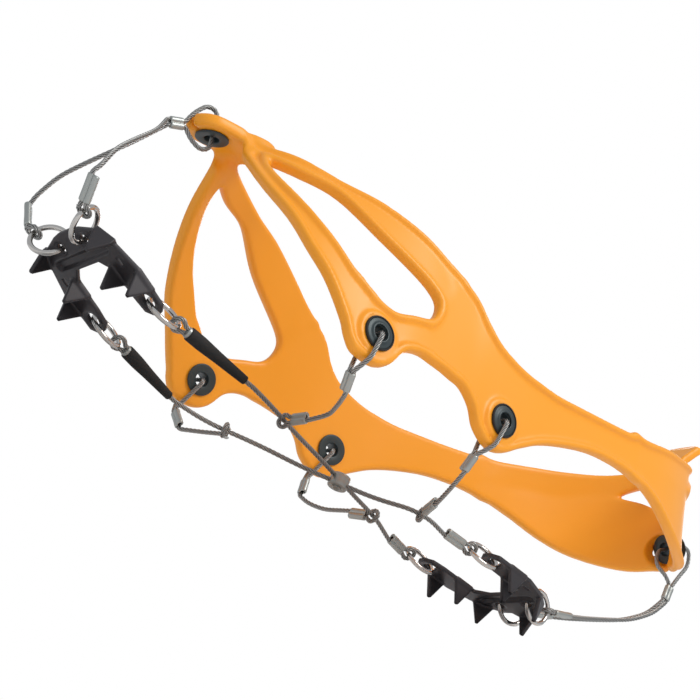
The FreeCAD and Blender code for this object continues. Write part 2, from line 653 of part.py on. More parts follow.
def toe_cable():
    base, axis, length = place(TOE_CRIMP[0]), unit(V(*TOE_CRIMP[1])), TOE_CRIMP[2]
    n = V(-axis.z, 0, axis.x)
    half = n * (STRAND_GAP / 2)
    legs = {}
    for s in (1, -1):
        tip, pull = toe_far(s)
        leg = [place((x, s * y, z)) for x, y, z in TOE_LEG]
        head, b, a, t = end_loop(tip, pull, toe_lean(s), leg[-1] - tip, NECK, FERRULE_LONG)
        legs[s] = (head + leg[::-1], (b, a, t))
    loop = [place(p) for p in TOE_LOOP]
    points, fixed, reach = through_centre(legs, base, axis, half, length, loop)
    return (points, fixed, reach), legs, (base, axis, n)


# heel cable: ring eye, strand under the heel, centre crimp, loop through the heel grommet
HEEL_CRIMP = ((-68.6, 0, 54.2), (0.06, 0, -1), 5.8)
HEEL_LEG = [(-29.5, 4.4, 18.6), (-40.5, 3.2, 24.2), (-53.0, 2.2, 31.0), (-63.2, 1.5, 39.6)]
HEEL_LOOP = [(-71.6, 0, 60.6), (-74.6, 0, 67.0), (-71.8, 0, 73.8), (-56.6, 0, 63.2),
             (-58.2, 0, 58.0), (-64.8, 0, 56.8)]


def heel_cable():
    base, axis, length = place(HEEL_CRIMP[0]), unit(V(*HEEL_CRIMP[1])), HEEL_CRIMP[2]
    n = V(axis.z, 0, -axis.x)
    half = n * (STRAND_GAP / 2)
    legs = {}
    for s in (1, -1):
        tip, pull = rear_far(s)
        leg = [place((x, s * y, z)) for x, y, z in HEEL_LEG]
        head, b, a, t = end_loop(tip, pull, END_LEAN, leg[0] - tip, NECK, FERRULE_LONG)
        legs[s] = (head + leg, (b, a, t))
    loop = [place(p) for p in HEEL_LOOP]
    points, fixed, reach = through_centre(legs, base, axis, half, length, loop)
    return (points, fixed, reach), legs, (base, axis, n)


# ---- crossing clamp ------------------------------------------------------------------
CLAMP_R = 3.4
CLAMP_H = 4.6


def clamp(crosses):
    middle = place(CLAMP)
    body = Part.makeCylinder(CLAMP_R, CLAMP_H, middle - V(0, 0, CLAMP_H / 2), V(0, 0, 1))
    for name in ("right", "left"):
        line = crosses[name]
        a, b = line[11], line[12]
        body = body.cut(Part.makeCylinder(CABLE_R + FERRULE_BORE_GAP, 30,
                                          (a + b) * 0.5 - unit(b - a) * 15, b - a))
    return body


def clamp_rivet():
    """Two domed heads, above and below the crossing, seated on the clamp's faces."""
    middle = place(CLAMP)
    heads = []
    for s in (1, -1):
        face = middle + V(0, 0, s * CLAMP_H / 2)
        ball = Part.makeSphere(2.0, face - V(0, 0, s * 1.1))
        slab = Part.makeCylinder(3, 2, face, V(0, 0, s))
        heads.append(ball.common(slab))
    return Part.makeCompound(heads)


# ---- build ---------------------------------------------------------------------------
def build_rings():
    for s, side in ((1, "left"), (-1, "right")):
        for name, hole, pull, lean in (
                ("front_arm_ring_", front_point(0, s * FRONT_HOLE_Y), ARM_PULL, ARM_LEAN),
                ("toe_ring_", front_point(TOE_HOLE_X, s * TOE_HOLE_Y), TOE_PULL, toe_lean(s)),
                ("heel_arm_ring_", heel_point(HEEL_HOLE_X, s * HEEL_HOLE_Y), HEEL_ARM_PULL, ARM_LEAN),
                ("heel_rear_ring_", heel_point(0, s * REAR_HOLE_Y), REAR_PULL, END_LEAN)):
            save(name + side, ring(hole, V(pull.x, s * pull.y, pull.z), lean))


def build_cross():
    lines = {}
    for name in ("left", "right"):
        route, front, rear, sleeve_end = cross_cable(name)
        lines[name] = route[0]
        save("cross_cable_" + name, tube("cross_cable_" + name, route))
        save("cross_front_crimp_" + name, crimp_round(*front))
        save("cross_rear_ferrule_" + name, ferrule(*rear, FERRULE_LONG))
        save("cable_sleeve_" + name, sleeve(*front, sleeve_end))
    return lines


def build_sides(lines):
    for name in SIDE_TIPS:
        row = name.split("_")[0]
        route, top, low = side_cable(name, lines)
        save("side_cable_" + name, tube("side_cable_" + name, route))
        save("side_top_ferrule_" + name, ferrule(*top, FERRULE_SIDE_TOP))
        save("side_low_ferrule_" + name, ferrule(*low, FERRULE_SIDE_LOW[row]))


def build_ends():
    for name, made, crimp in (("toe", toe_cable(), TOE_CRIMP), ("heel", heel_cable(), HEEL_CRIMP)):
        route, legs, centre = made
        save(name + "_cable", tube(name + "_cable", route))
        save(name + "_centre_ferrule", ferrule(*centre, crimp[2]))
        for s, side in ((1, "left"), (-1, "right")):
            save(name + "_ring_ferrule_" + side, ferrule(*legs[s][1], FERRULE_LONG))


def build_harness():
    save("elastomer_harness", harness())
    for name, (centre, axis) in zip(GROMMET_NAMES, grommet_places()):
        outer, inner = grommet_halves(centre, axis)
        save("grommet_outer_" + name, outer)
        save("grommet_inner_" + name, inner)


def main():
    build_harness()
    save("front_spike_plate", on_front(front_plate()))
    heel = heel_plate()
    heel.translate(place((0, 0, SPIKE_H)))
    save("heel_spike_plate", heel)
    build_rings()
    lines = build_cross()
    save("crossing_clamp", clamp(lines))
    save("clamp_rivet", clamp_rivet())
    build_sides(lines)
    build_ends()
    for name, (used, length, ratio) in radii.items():
        print(name, "length %.1f, volume over section times length %.4f, radii" % (length, ratio),
              " ".join("%.1f" % r for r in used))


main()
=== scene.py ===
"""Shoe ice cleats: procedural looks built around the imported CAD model, laid out as a Blender add-on.

Lengths in the tables are millimetres in the object's frame: +X to the toe, +Y to the wearer's
left, +Z up, spike tips on Z = 0.  Meshes are made in metres.
"""

import bpy
import numpy as np
from bpy.props import FloatProperty, FloatVectorProperty, IntProperty, PointerProperty
from mathutils import Matrix, Vector


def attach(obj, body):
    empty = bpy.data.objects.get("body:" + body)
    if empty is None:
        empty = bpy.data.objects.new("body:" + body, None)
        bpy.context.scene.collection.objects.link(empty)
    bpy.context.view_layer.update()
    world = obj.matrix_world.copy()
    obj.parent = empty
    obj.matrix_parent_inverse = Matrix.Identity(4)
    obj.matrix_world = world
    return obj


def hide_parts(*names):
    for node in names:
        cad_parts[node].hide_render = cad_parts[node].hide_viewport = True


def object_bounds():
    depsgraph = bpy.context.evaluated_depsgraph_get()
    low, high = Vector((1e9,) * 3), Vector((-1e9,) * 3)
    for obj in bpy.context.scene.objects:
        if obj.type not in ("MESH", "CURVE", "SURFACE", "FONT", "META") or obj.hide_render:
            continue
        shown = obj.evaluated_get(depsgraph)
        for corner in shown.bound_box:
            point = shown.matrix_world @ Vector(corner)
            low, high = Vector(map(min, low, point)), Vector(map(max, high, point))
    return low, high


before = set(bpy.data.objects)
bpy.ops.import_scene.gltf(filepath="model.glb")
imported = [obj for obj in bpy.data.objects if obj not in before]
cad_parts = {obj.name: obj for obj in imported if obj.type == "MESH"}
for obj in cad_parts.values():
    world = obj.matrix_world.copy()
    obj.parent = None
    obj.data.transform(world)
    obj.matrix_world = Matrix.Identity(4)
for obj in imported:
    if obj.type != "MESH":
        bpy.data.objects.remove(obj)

bl_info = {
    "name": "Shoe ice cleats",
    "version": (1, 0, 0),
    "blender": (4, 5, 0),
    "location": "View3D > Sidebar > Ice Cleats",
    "description": "Builds a pull-on pair of shoe ice cleats from its sizes and colours",
    "category": "Object",
}

MM = 0.001
CAD_BOX = [list(c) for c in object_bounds()]
ROOT = "harness_and_cables"
X_MID = 71.5        # heel plate's ring holes to the middle of the length


# ---- shapes from distance fields --------------------------------------------------
def unit(v):
    """v over its length."""
    v = np.asarray(v, float)
    return v / np.linalg.norm(v)


def place(p, s=1):
    """A point measured from the heel plate's ring holes, in the object's frame; s = -1 mirrors it."""
    return np.array([p[0] - X_MID, s * p[1], p[2]], float)


def smooth_min(a, b, k):
    """Polynomial smooth minimum: min(a, b) - k/4 * max(1 - |a - b|/k, 0)**2."""
    h = np.maximum(1 - np.abs(a - b) / k, 0)
    return np.minimum(a, b) - 0.25 * k * h * h


def smooth_step(x, lo, hi):
    """3 t^2 - 2 t^3, with t going from 0 at lo to 1 at hi."""
    t = np.clip((x - lo) / (hi - lo), 0, 1)
    return t * t * (3 - 2 * t)


def rounded_section(a, b, r):
    """Distance to the corner a < 0, b < 0 with its edge rounded to radius r:
    |max(a + r, 0), max(b + r, 0)| + min(max(a + r, b + r), 0) - r."""
    p, q = a + r, b + r
    return np.hypot(np.maximum(p, 0), np.maximum(q, 0)) + np.minimum(np.maximum(p, q), 0) - r


def grid(lo, hi, step):
    """Sample positions along each axis of a box, a little past its faces."""
    return [np.arange(a - 2 * step, b + 2 * step, step) for a, b in zip(lo, hi)]


def surface_net(field, axes):
    """Quads around the zero level of a sampled field (naive surface nets).
    Each grid edge whose ends differ in sign gives a crossing at f0/(f0 - f1) and one quad;
    each cell's vertex is the mean of its own edges' crossings."""
    inside = field < 0
    shape = np.array(field.shape)
    steps = np.array([ax[1] - ax[0] for ax in axes])
    start = np.array([ax[0] for ax in axes])
    points, cells, flips = [], [], []
    for k in range(3):
        lo = [slice(None)] * 3
        hi = [slice(None)] * 3
        lo[k], hi[k] = slice(0, -1), slice(1, None)
        change = inside[tuple(lo)] != inside[tuple(hi)]
        idx = np.argwhere(change)
        u, v = (k + 1) % 3, (k + 2) % 3
        idx = idx[(idx[:, u] > 0) & (idx[:, v] > 0)]
        nxt = idx.copy()
        nxt[:, k] += 1
        f0, f1 = field[tuple(idx.T)], field[tuple(nxt.T)]
        p = idx.astype(float)
        p[:, k] += f0 / (f0 - f1)
        quad = []
        for du, dv in ((-1, -1), (0, -1), (0, 0), (-1, 0)):
            c = idx.copy()
            c[:, u] += du
            c[:, v] += dv
            quad.append(np.ravel_multi_index(c.T, shape))
        points.append(p)
        cells.append(np.stack(quad, 1))
        flips.append(f0 > f1)
    p, c, f = np.concatenate(points), np.concatenate(cells), np.concatenate(flips)
    ids, quads = np.unique(c, return_inverse=True)
    quads = quads.reshape(c.shape)
    count = np.bincount(quads.ravel(), minlength=len(ids))
    verts = np.stack([np.bincount(quads.ravel(), np.repeat(p[:, i], 4), len(ids)) / count
                      for i in range(3)], 1)
    quads[f] = quads[f][:, ::-1]
    return start + verts * steps, quads


def mesh_object(name, verts, quads, smooth=True):
    """A mesh object at the origin from vertex positions in millimetres."""
    mesh = bpy.data.meshes.new(name)
    verts = np.ascontiguousarray(verts * MM, np.float32)
    faces = np.ascontiguousarray(quads, np.int32)
    mesh.vertices.add(len(verts))
    mesh.vertices.foreach_set("co", verts.ravel())
    mesh.loops.add(faces.size)
    mesh.loops.foreach_set("vertex_index", faces.ravel())
    mesh.polygons.add(len(faces))
    mesh.polygons.foreach_set("loop_start", np.arange(0, faces.size, faces.shape[1], dtype=np.int32))
    mesh.update(calc_edges=True)
    mesh.validate()
    mesh.polygons.foreach_set("use_smooth", np.full(len(mesh.polygons), smooth))
    obj = bpy.data.objects.new(name, mesh)
    bpy.context.scene.collection.objects.link(obj)
    return obj


def join_grids(parts):
    """One vertex and one quad array from several."""
    verts, quads, at = [], [], 0
    for v, q in parts:
        verts.append(v)
        quads.append(q + at)
        at += len(v)
    return np.concatenate(verts), np.concatenate(quads)


def grid_quads(rows, cols, wrap_rows=False, wrap_cols=True):
    """Quads of a rows x cols vertex grid, joined end to end where it wraps."""
    i = np.arange(rows if wrap_rows else rows - 1)
    j = np.arange(cols if wrap_cols else cols - 1)
    i, j = np.meshgrid(i, j, indexing="ij")
    a, b = i * cols + j, i * cols + (j + 1) % cols
    c, d = ((i + 1) % rows) * cols + (j + 1) % cols, ((i + 1) % rows) * cols + j
    return np.stack([a, b, c, d], -1).reshape(-1, 4)


def lathe(profile, centre, axis, turns=64):
    """Points r(t), h(t) of a closed profile swept round an axis."""
    axis = unit(axis)
    u = unit(np.cross(axis, (0.3, 1, 0.2)))
    v = np.cross(axis, u)
    profile = np.asarray(profile, float)
    t = np.arange(turns) * 2 * np.pi / turns
    ring = np.cos(t)[:, None] * u + np.sin(t)[:, None] * v
    pts = profile[:, None, :1] * ring + profile[:, None, 1:] * axis
    return (np.asarray(centre) + pts).reshape(-1, 3), grid_quads(len(profile), turns, True)


# ---- materials ----------------------------------------------------------------------
class Val:
    """A shader socket that can be added, subtracted and multiplied like a number."""

    def __init__(self, tree, socket):
        self.tree, self.socket = tree, socket

    def math(self, kind, *others, clamp=False):
        node = self.tree.nodes.new("ShaderNodeMath")
        node.operation, node.use_clamp = kind, clamp
        for slot, value in zip(node.inputs, (self, *others)):
            if isinstance(value, Val):
                self.tree.links.new(value.socket, slot)
            else:
                slot.default_value = value
        return Val(self.tree, node.outputs[0])

    def __add__(self, o):
        return self.math("ADD", o)

    def __sub__(self, o):
        return self.math("SUBTRACT", o)

    def __mul__(self, o):
        return self.math("MULTIPLY", o)

    def step(self, lo, hi):
        """0 below lo, 1 above hi, straight between."""
        return ((self - lo) * (1 / (hi - lo))).math("MULTIPLY", 1.0, clamp=True)


class Paint:
    """One Principled material and short ways to make the nodes that feed it."""

    def __init__(self, name, **inputs):
        self.mat = bpy.data.materials.new(name)
        self.mat.use_nodes = True
        self.tree = self.mat.node_tree
        self.shader = self.tree.nodes["Principled BSDF"]
        for key, value in inputs.items():
            self.set(key.replace("_", " ").title(), value)

    def set(self, key, value):
        slot = self.shader.inputs[key]
        if isinstance(value, Val):
            self.tree.links.new(value.socket, slot)
        else:
            slot.default_value = (*value, 1) if isinstance(value, tuple) else value

    def node(self, kind, links=(), **values):
        made = self.tree.nodes.new("ShaderNode" + kind)
        for key, value in values.items():
            if key in made.inputs:
                made.inputs[key].default_value = value
            else:
                setattr(made, key, value)
        for key, value in dict(links).items():
            self.tree.links.new(value.socket, made.inputs[key])
        return made

    def place(self):
        return Val(self.tree, self.node("TexCoord").outputs["Object"])

    def noise(self, scale, detail=4.0, rough=0.55):
        made = self.node("TexNoise", {"Vector": self.place()}, Scale=scale, Detail=detail, Roughness=rough)
        return Val(self.tree, made.outputs["Fac"])

    def mix(self, fac, a, b):
        made = self.node("MixRGB", {"Fac": fac})
        for slot, value in (("Color1", a), ("Color2", b)):
            if isinstance(value, Val):
                self.tree.links.new(value.socket, made.inputs[slot])
            else:
                made.inputs[slot].default_value = (*value, 1)
        return Val(self.tree, made.outputs[0])

    def bump(self, height, distance, strength=1.0):
        made = self.node("Bump", {"Height": height}, Strength=strength, Distance=distance)
        self.set("Normal", Val(self.tree, made.outputs["Normal"]))


def elastomer(colour):
    """Moulded thermoplastic elastomer: even colour, faint mould grain, soft sheen."""
    p = Paint("elastomer")
    p.set("Specular IOR Level", 0.08)
    p.set("Specular Tint", (1.0, 0.55, 0.2))
    colour = tuple(colour)
    tone = p.noise(38.0, 3.0).step(0.35, 0.7)
    p.set("Base Color", p.mix(tone, tuple(c * 0.93 for c in colour), colour))
    p.set("Roughness", p.noise(900.0, 2.0).step(0.2, 0.9) * 0.12 + 0.34)
    p.bump(p.noise(1400.0, 2.0), 0.00004, 0.35)
    p.shader.inputs["Subsurface Weight"].default_value = 0.05
    p.shader.inputs["Subsurface Radius"].default_value = (0.004, 0.0015, 0.0004)
    return p.mat


def metal(name, low, high, rough, scale=160.0, grain=0.0, edge=(1.0, 1.0, 1.0)):
    """Metal whose colour and roughness wander between two tones; edge tints its grazing sheen."""
    p = Paint(name, metallic=1.0)
    p.set("Specular Tint", edge)
    tone = p.noise(scale, 5.0).step(0.35, 0.68)
    p.set("Base Color", p.mix(tone, low, high))
    p.set("Roughness", p.noise(scale * 2.3, 3.0).step(0.3, 0.8) * (rough[1] - rough[0]) + rough[0])
    if grain:
        p.bump(p.noise(scale * 9, 3.0), grain)
    return p.mat


def plastic(name, low, high, rough, grain=0.00002):
    """Matt moulded plastic or shrink tube with a fine grain."""
    p = Paint(name)
    p.set("Specular IOR Level", 0.1)
    p.set("Base Color", p.mix(p.noise(220.0).step(0.35, 0.7), low, high))
    p.set("Roughness", rough)
    p.bump(p.noise(1500.0, 2.0), grain, 0.5)
    return p.mat


def finish_piece(obj, body, slot, material, *nodes):
    """Gives a made piece its paint and its body, and hides the CAD nodes that it stands for; slot is not
    used.
    """
    obj.data.materials.clear()
    obj.data.materials.append(material)
    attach(obj, body)
    if nodes:
        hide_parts(*nodes)
    return obj


def coat(slot):
    """A slot's one material.  The frame's own material of that name is taken where there is one,
    so the looks below are made only in a file that has none."""
    found = bpy.data.materials.get(slot)
    if found:
        return found
    look = bpy.context.scene.cleat_looks
    if slot == "elastomer":
        return elastomer(look.harness_colour)
    if slot == "grommet":
        return metal(slot, (0.12, 0.135, 0.14), (0.3, 0.33, 0.34), (0.4, 0.55), 420.0, 0.00002)
    if slot == "plate":
        return metal(slot, tuple(look.plate_colour), tuple(c * 1.9 for c in look.plate_colour),
                     (0.24, 0.38), 120.0, 0.000004, (0.14, 0.11, 0.1))
    if slot == "ring":
        return metal(slot, (0.62, 0.6, 0.56), (0.78, 0.76, 0.72), (0.14, 0.26), 300.0)
    if slot == "crimp":
        return metal(slot, (0.4, 0.42, 0.4), (0.56, 0.58, 0.55), (0.38, 0.52), 260.0, 0.00002)
    if slot == "cable":
        return metal(slot, (0.34, 0.33, 0.31), (0.66, 0.65, 0.62), (0.24, 0.4), 700.0)
    return plastic(slot, (0.004, 0.004, 0.0045), (0.009, 0.009, 0.01), 0.6)


# ---- sizes and colours ---------------------------------------------------------------
class CleatLooks(bpy.types.PropertyGroup):
    """Sizes and colours of the made pieces and of the picture."""

    harness_colour: FloatVectorProperty(name="Harness colour", description="Colour of the elastomer",
                                        subtype="COLOR", size=3, default=(1.0, 0.235, 0.0))
    plate_colour: FloatVectorProperty(name="Plate colour", description="Colour of the coated steel plates",
                                      subtype="COLOR", size=3, default=(0.0062, 0.0048, 0.0042))
    harness_step: FloatProperty(name="Harness grid", description="Sampling step of the harness, in metres",
                                default=0.00062, min=0.0004, max=0.002, unit="LENGTH")
    rim_height: FloatProperty(name="Rim height", description="How far the rim stands above the panels",
                              default=0.0011, min=0.0, max=0.002, unit="LENGTH")
    cable_radius: FloatProperty(name="Cable radius", description="Radius of the wire rope",
                                default=0.0008, min=0.0004, max=0.0012, unit="LENGTH")
    cable_lay: FloatProperty(name="Rope lay", description="Length of one turn of a strand",
                             default=0.0098, min=0.004, max=0.02, unit="LENGTH")
    strands: IntProperty(name="Strands", description="Outer strands of the wire rope",
                         default=6, min=4, max=8)
    light: FloatProperty(name="Key light", description="Power of the key light, in watts",
                         default=5.2, min=0.0, max=100.0)
    sky: FloatProperty(name="Sky light", description="Strength of the even light from all round",
                       default=0.56, min=0.0, max=2.0)


class Step(bpy.types.Operator):
    """Shared options of every building step."""

    bl_options = {"REGISTER", "UNDO"}

    def execute(self, context):
        self.build(context.scene.cleat_looks)
        return {"FINISHED"}


# ---- harness -----------------------------------------------------------------------
WALL = 4.4
FACE_SLACK = 1.6                    # how far off the wall a strip is still whole
SOFT = 1.0                          # how widely strips blend where they meet
RIM_IN, RIM_OUT = 1.7, 3.0          # the rim falls away between these distances from an edge
PAD_IN, PAD_OUT = 6.8, 8.2          # flat ring round a grommet, and where it ends
FLANGE_ROOM = 0.6                   # seat in the harness over the flange
EDGE_ROUND = 1.35                   # rounding of the wall's edges
TAB_CORNER = (-95, 16, 86)          # the pull tab is behind, inside and above this
SIDES = {"left": 1, "right": -1}
STRIPS = {
    # name: outer or lower edge, inner or upper edge (left half, on the shoe's surface), and how
    # far past its first and last station the strip runs on
    "arm": ("172,7,69.5 167,19,58.8 159.7,31,48.4 153.2,38,39.9 145.9,43,32.6 137.8,46.5,23.6 131,47.8,17",
            "166,9,74 164.6,17.5,66 158.6,27,58.2 151.7,34,51.8 145.6,38,47 138.2,42,41.3 131.4,44.5,37.6",
            (1.0, 1.5)),
    "instep": ("171,8,71.6 158.2,19,70 145.7,25,69.7 129.9,33,63.2 112.1,39,57.2 103,41.5,52",
               "172,2,75.6 159.3,13,77 145.2,20.5,76 131.5,27,76.6 115.6,33.5,74 100.8,37,68.3", (0.5, 4.0)),
    "band": ("134.6,47.2,20.6 130.6,47.9,16.8 121.5,47.6,18 114.5,46.8,27 108.5,46,31 99.6,45.3,33 "
             "91,44.7,33.3",
             "136,42.9,40 131.4,44.5,37.6 122,44.3,37.6 114,43.8,41.5 107.5,43,45.5 103,41,53 94,38.5,64",
             (1.0, 0.0)),
    "side": ("99.6,45.3,33 89.5,44.6,33.3 82,44.3,30 76.8,44,25 67.8,43.5,23 58.1,42.5,29.8 49.5,41.5,36.8 "
             "37.9,40.7,43.5 24.1,39.7,49.4 5,37.4,54.3",
             "103,37.5,69 91.7,38.5,65.7 84,40.2,60 77,40.9,56.6 66,41,55.2 57,40.8,55.8 48.5,40.3,57 "
             "38,39.6,59.6 23.8,38.5,63.4 5,36.5,69", (4.0, 5.0)),
    "heel_ring": ("5,37.2,57 -11.5,34.2,61.5 -25,29,67.5 -37.5,21,75 -45.5,10,85 -48.5,0,88.5",
                  "5,36.5,69 -11.7,32,76 -24,26.5,80.8 -36,19,86.3 -44,10,92 -46.5,0,95", (5.0, 9.0)),
    "heel_arm": ("5,37.4,54.3 -10.8,34.5,54 -27,29.5,51.8 -40,23,51.5 -55,12,54 -62.5,0,58.5",
                 "5,37,63 -11.3,33.3,69 -25,28,74 -38,19.5,78 -48.5,7.5,80 -54.5,0,77", (5.0, 9.0)),
}
TOE_EYE, HEEL_EYE = (182, 0, 74.2), (-60.6, 0, 66)
SIDE_EYES = {
    # eyelet, and three points of the side wall that give its outward direction
    "front": ((125.2, 46.3, 26), (124.5, 47.8, 16), (124.5, 44.4, 37.5), (108.5, 46, 31)),
    "rear": ((68.5, 42.6, 33.3), (67.8, 43.5, 23), (66, 41, 55.2), (49.5, 41.5, 36.8)),
}
BOSS_R = {"toe": 8.2, "heel": 8.0, "front_left": 9.3, "rear_left": 9.3}
FLANGE_R, BARREL_R, HOLE_R = 5.6, 3.4, 2.5
SEAT_GAP, FACE_GAP = 0.05, 0.02     # grommet barrel in the harness, and flange off its face


def grommet_places():
    """Centre and outward axis of each grommet on the shoe's surface."""
    places = {"toe": (place(TOE_EYE), unit((0.26, 0, 1))), "heel": (place(HEEL_EYE), unit((-0.82, 0, 0.57)))}
    for row, (eyelet, low, high, along) in SIDE_EYES.items():
        n = unit(np.cross(place(high) - place(low), place(along) - place(low)))
        n *= np.sign(n[1])
        for side, s in SIDES.items():
            places[f"{row}_{side}"] = (place(eyelet, s), n * (1, s, 1))
    return places


GROMMETS = grommet_places()


def table(text, columns=3):
    """Rows of numbers from a string, separated by blanks and commas."""
    return np.array([float(v) for v in text.replace(",", " ").split()]).reshape(-1, columns)


def catmull(points, steps):
    """Catmull-Rom curve through the points, steps samples to a span."""
    n = len(points)
    t = np.linspace(0, n - 1, (n - 1) * steps + 1)
    i = np.minimum(t.astype(int), n - 2)
    u = (t - i)[:, None]
    p0, p1, p2, p3 = (points[np.clip(i + k, 0, n - 1)] for k in (-1, 0, 1, 2))
    return 0.5 * (2 * p1 + (p2 - p0) * u + (2 * p0 - 5 * p1 + 4 * p2 - p3) * u ** 2
                  + (3 * p1 - p0 - 3 * p2 + p3) * u ** 3)


def strip_stations(edges, past, spacing=2.0):
    """Even stations along a strip: both edges, outward normal, and how square each edge runs.
    Both ends run straight on by a little, so that strips which meet blend."""
    a, b = (catmull(table(e), 12) for e in edges)
    a[:, 0] -= X_MID
    b[:, 0] -= X_MID
    middle = (a + b) / 2
    along = np.concatenate([[0], np.cumsum(np.linalg.norm(np.diff(middle, axis=0), axis=1))])
    s = np.linspace(0, along[-1], int(along[-1] / spacing) + 1)
    a, b = (np.stack([np.interp(s, along, e[:, i]) for i in range(3)], 1) for e in (a, b))
    run = np.gradient((a + b) / 2, axis=0)
    n = np.cross(run, b - a)
    n /= np.linalg.norm(n, axis=1)[:, None]
    core = np.array([60 - X_MID, 0, 45])
    n[(((a + b) / 2 - core) * n).sum(1) < 0] *= -1
    on_middle = np.abs(a[:, 1]) + np.abs(b[:, 1]) < 1e-6
    n[on_middle, 1] = 0
    n /= np.linalg.norm(n, axis=1)[:, None]
    across = (b - a) / np.linalg.norm(b - a, axis=1)[:, None]
    square = []
    for e in (a, b):
        d = np.gradient(e, axis=0)
        d /= np.linalg.norm(d, axis=1)[:, None] + 1e-9
        square.append(np.linalg.norm(np.cross(d, across), axis=1))
    return a, b, n, np.clip(np.stack(square), 0.35, 1), s[1] - s[0], past


def strip_field(p, stations):
    """Edge distance (positive inside) and height above the shoe, for points near a strip."""
    a, b, n, square, spacing, past = stations
    middle = (a + b) / 2
    half = np.linalg.norm(b - a, axis=1) / 2
    across = (b - a) / (2 * half[:, None])
    best = np.full(len(p), 1e9)
    index = np.zeros(len(p), int)
    for i in range(len(a)):
        d = p - middle[i]
        x = d @ across[i]
        x -= np.clip(x, -half[i], half[i])
        run = np.cross(across[i], n[i])
        dist = x ** 2 + (d @ n[i]) ** 2 + (d @ run) ** 2
        near = dist < best
        best[near], index[near] = dist[near], i
    run = np.cross(across, n)
    run *= np.sign(np.einsum("ij,ij->i", run, np.gradient(middle, axis=0)))[:, None]
    d = p - middle[index]
    x = np.einsum("ij,ij->i", d, across[index])
    skew = np.gradient(middle, axis=0)
    pace = np.maximum(np.einsum("ij,ij->i", skew, run), 0.3 * spacing)
    shift = np.einsum("ij,ij->i", d, run[index]) / pace[index]
    t = index + np.clip(shift, -1, 1)
    last = len(a) - 1
    t = np.clip(t, 0, last)
    lo = np.minimum(t.astype(int), last - 1)
    u = (t - lo)[:, None]

    def at(v):
        return v[lo] * (1 - u) + v[lo + 1] * u

    pa, pb, pn = at(a), at(b), at(n)
    w = np.linalg.norm(pb - pa, axis=1)
    c = (pb - pa) / w[:, None]
    x = np.einsum("ij,ij->i", p - pa, c)
    h = np.einsum("ij,ij->i", p - (pa + pb) / 2, pn / np.linalg.norm(pn, axis=1)[:, None])
    fa, fb = (at(q[:, None])[:, 0] for q in square)
    e = np.minimum(x * fa, (w - x) * fb)
    early, late = -(index + shift) * spacing, (index + shift - last) * spacing
    e = np.minimum(e, np.minimum(past[0] - early, past[1] - late))
    return e - np.maximum(np.abs(h - WALL / 2) - WALL / 2 - FACE_SLACK, 0), h


def harness_fields(axes):
    """Edge distance and height over the grid's left half: soft maximum over all strips and
    bosses of e_k, SOFT log(sum exp(e_k / SOFT)), and the mean of h_k with the same weights."""
    shape = tuple(len(a) for a in axes)
    total = np.zeros(shape, np.float32)
    height = np.zeros(shape, np.float32)

    def add(lo, hi, function):
        cut = tuple(slice(np.searchsorted(ax, l), np.searchsorted(ax, h)) for ax, l, h in zip(axes, lo, hi))
        x, y, z = np.meshgrid(*[ax[c] for ax, c in zip(axes, cut)], indexing="ij")
        p = np.stack([x.ravel(), y.ravel(), z.ravel()], 1)
        e, h = function(p)
        weight = np.exp(np.clip(e / SOFT, -20, 20))
        weight[e < -6] = 0
        total[cut] += weight.reshape(x.shape)
        height[cut] += (weight * h).reshape(x.shape)

    for *edges, past in STRIPS.values():
        st = strip_stations(edges, past)
        both = np.concatenate([st[0], st[1]])
        add(both.min(0) - 8, both.max(0) + 8, lambda p: strip_field(p, st))
    for name, radius in BOSS_R.items():
        centre, axis = GROMMETS[name]

        def boss(p):
            d = p - centre
            h = d @ axis
            flat = d - h[:, None] * axis
            if name == "toe":       # a rounded tongue that runs back to the neck
                back = np.cross(axis, (0, 1, 0))
                back = back if back[0] < 0 else -back
                along = np.clip(flat @ back, -1.0, 15.0)
                flat = flat - along[:, None] * back
            e = radius - np.linalg.norm(flat, axis=1)
            return e - np.maximum(np.abs(h - WALL / 2) - WALL / 2 - FACE_SLACK, 0), h

        reach = radius + 18
        add(centre - reach, centre + reach, boss)
    used = total > 1e-6
    edge = np.full(shape, -8.0, np.float32)
    edge[used] = SOFT * np.log(total[used])
    height[used] /= total[used]
    for field in (edge, height) * 3:
        for k in range(3):          # evens out the steps between stations
            ahead, back = np.roll(field, -1, k), np.roll(field, 1, k)
            field += (ahead + back - 2 * field) * 0.25
    return edge, height


def pull_tab_distance(x, y, z):
    """The flared tongue at the heel: a slab of 3 mm that widens upwards and ends in a crown."""
    line = np.array([(-117.0, 92), (-119.0, 99), (-123.0, 106), (-129.0, 111.5)])
    wide = np.array([7.5, 7.5, 9.0, 7.5])
    zz = np.linspace(88, 112.5, 30)
    xx = np.interp(zz, line[:, 1], line[:, 0])
    ww = np.interp(zz, line[:, 1], wide)
    best = np.full(x.shape, 1e9)
    k = np.zeros(x.shape, int)
    for i in range(len(zz)):
        d = (x - xx[i]) ** 2 + (z - zz[i]) ** 2
        m = d < best
        best[m], k[m] = d[m], i
    tx, tz = np.gradient(xx), np.gradient(zz)
    size = np.hypot(tx, tz)
    tx, tz = tx / size, tz / size
    h = -(x - xx[k]) * tz[k] + (z - zz[k]) * tx[k]
    top = 110.3 - 0.055 * y ** 2
    flat = np.maximum(np.abs(y) - ww[k], (z - top) * 0.8)
    flat = np.maximum(flat, 90 - z)
    rim = 0.5 * (1 - smooth_step(-flat, 1.2, 2.2))
    return rounded_section(flat, np.abs(h - 1.5) - 1.5 - rim * 0.6, 1.2)


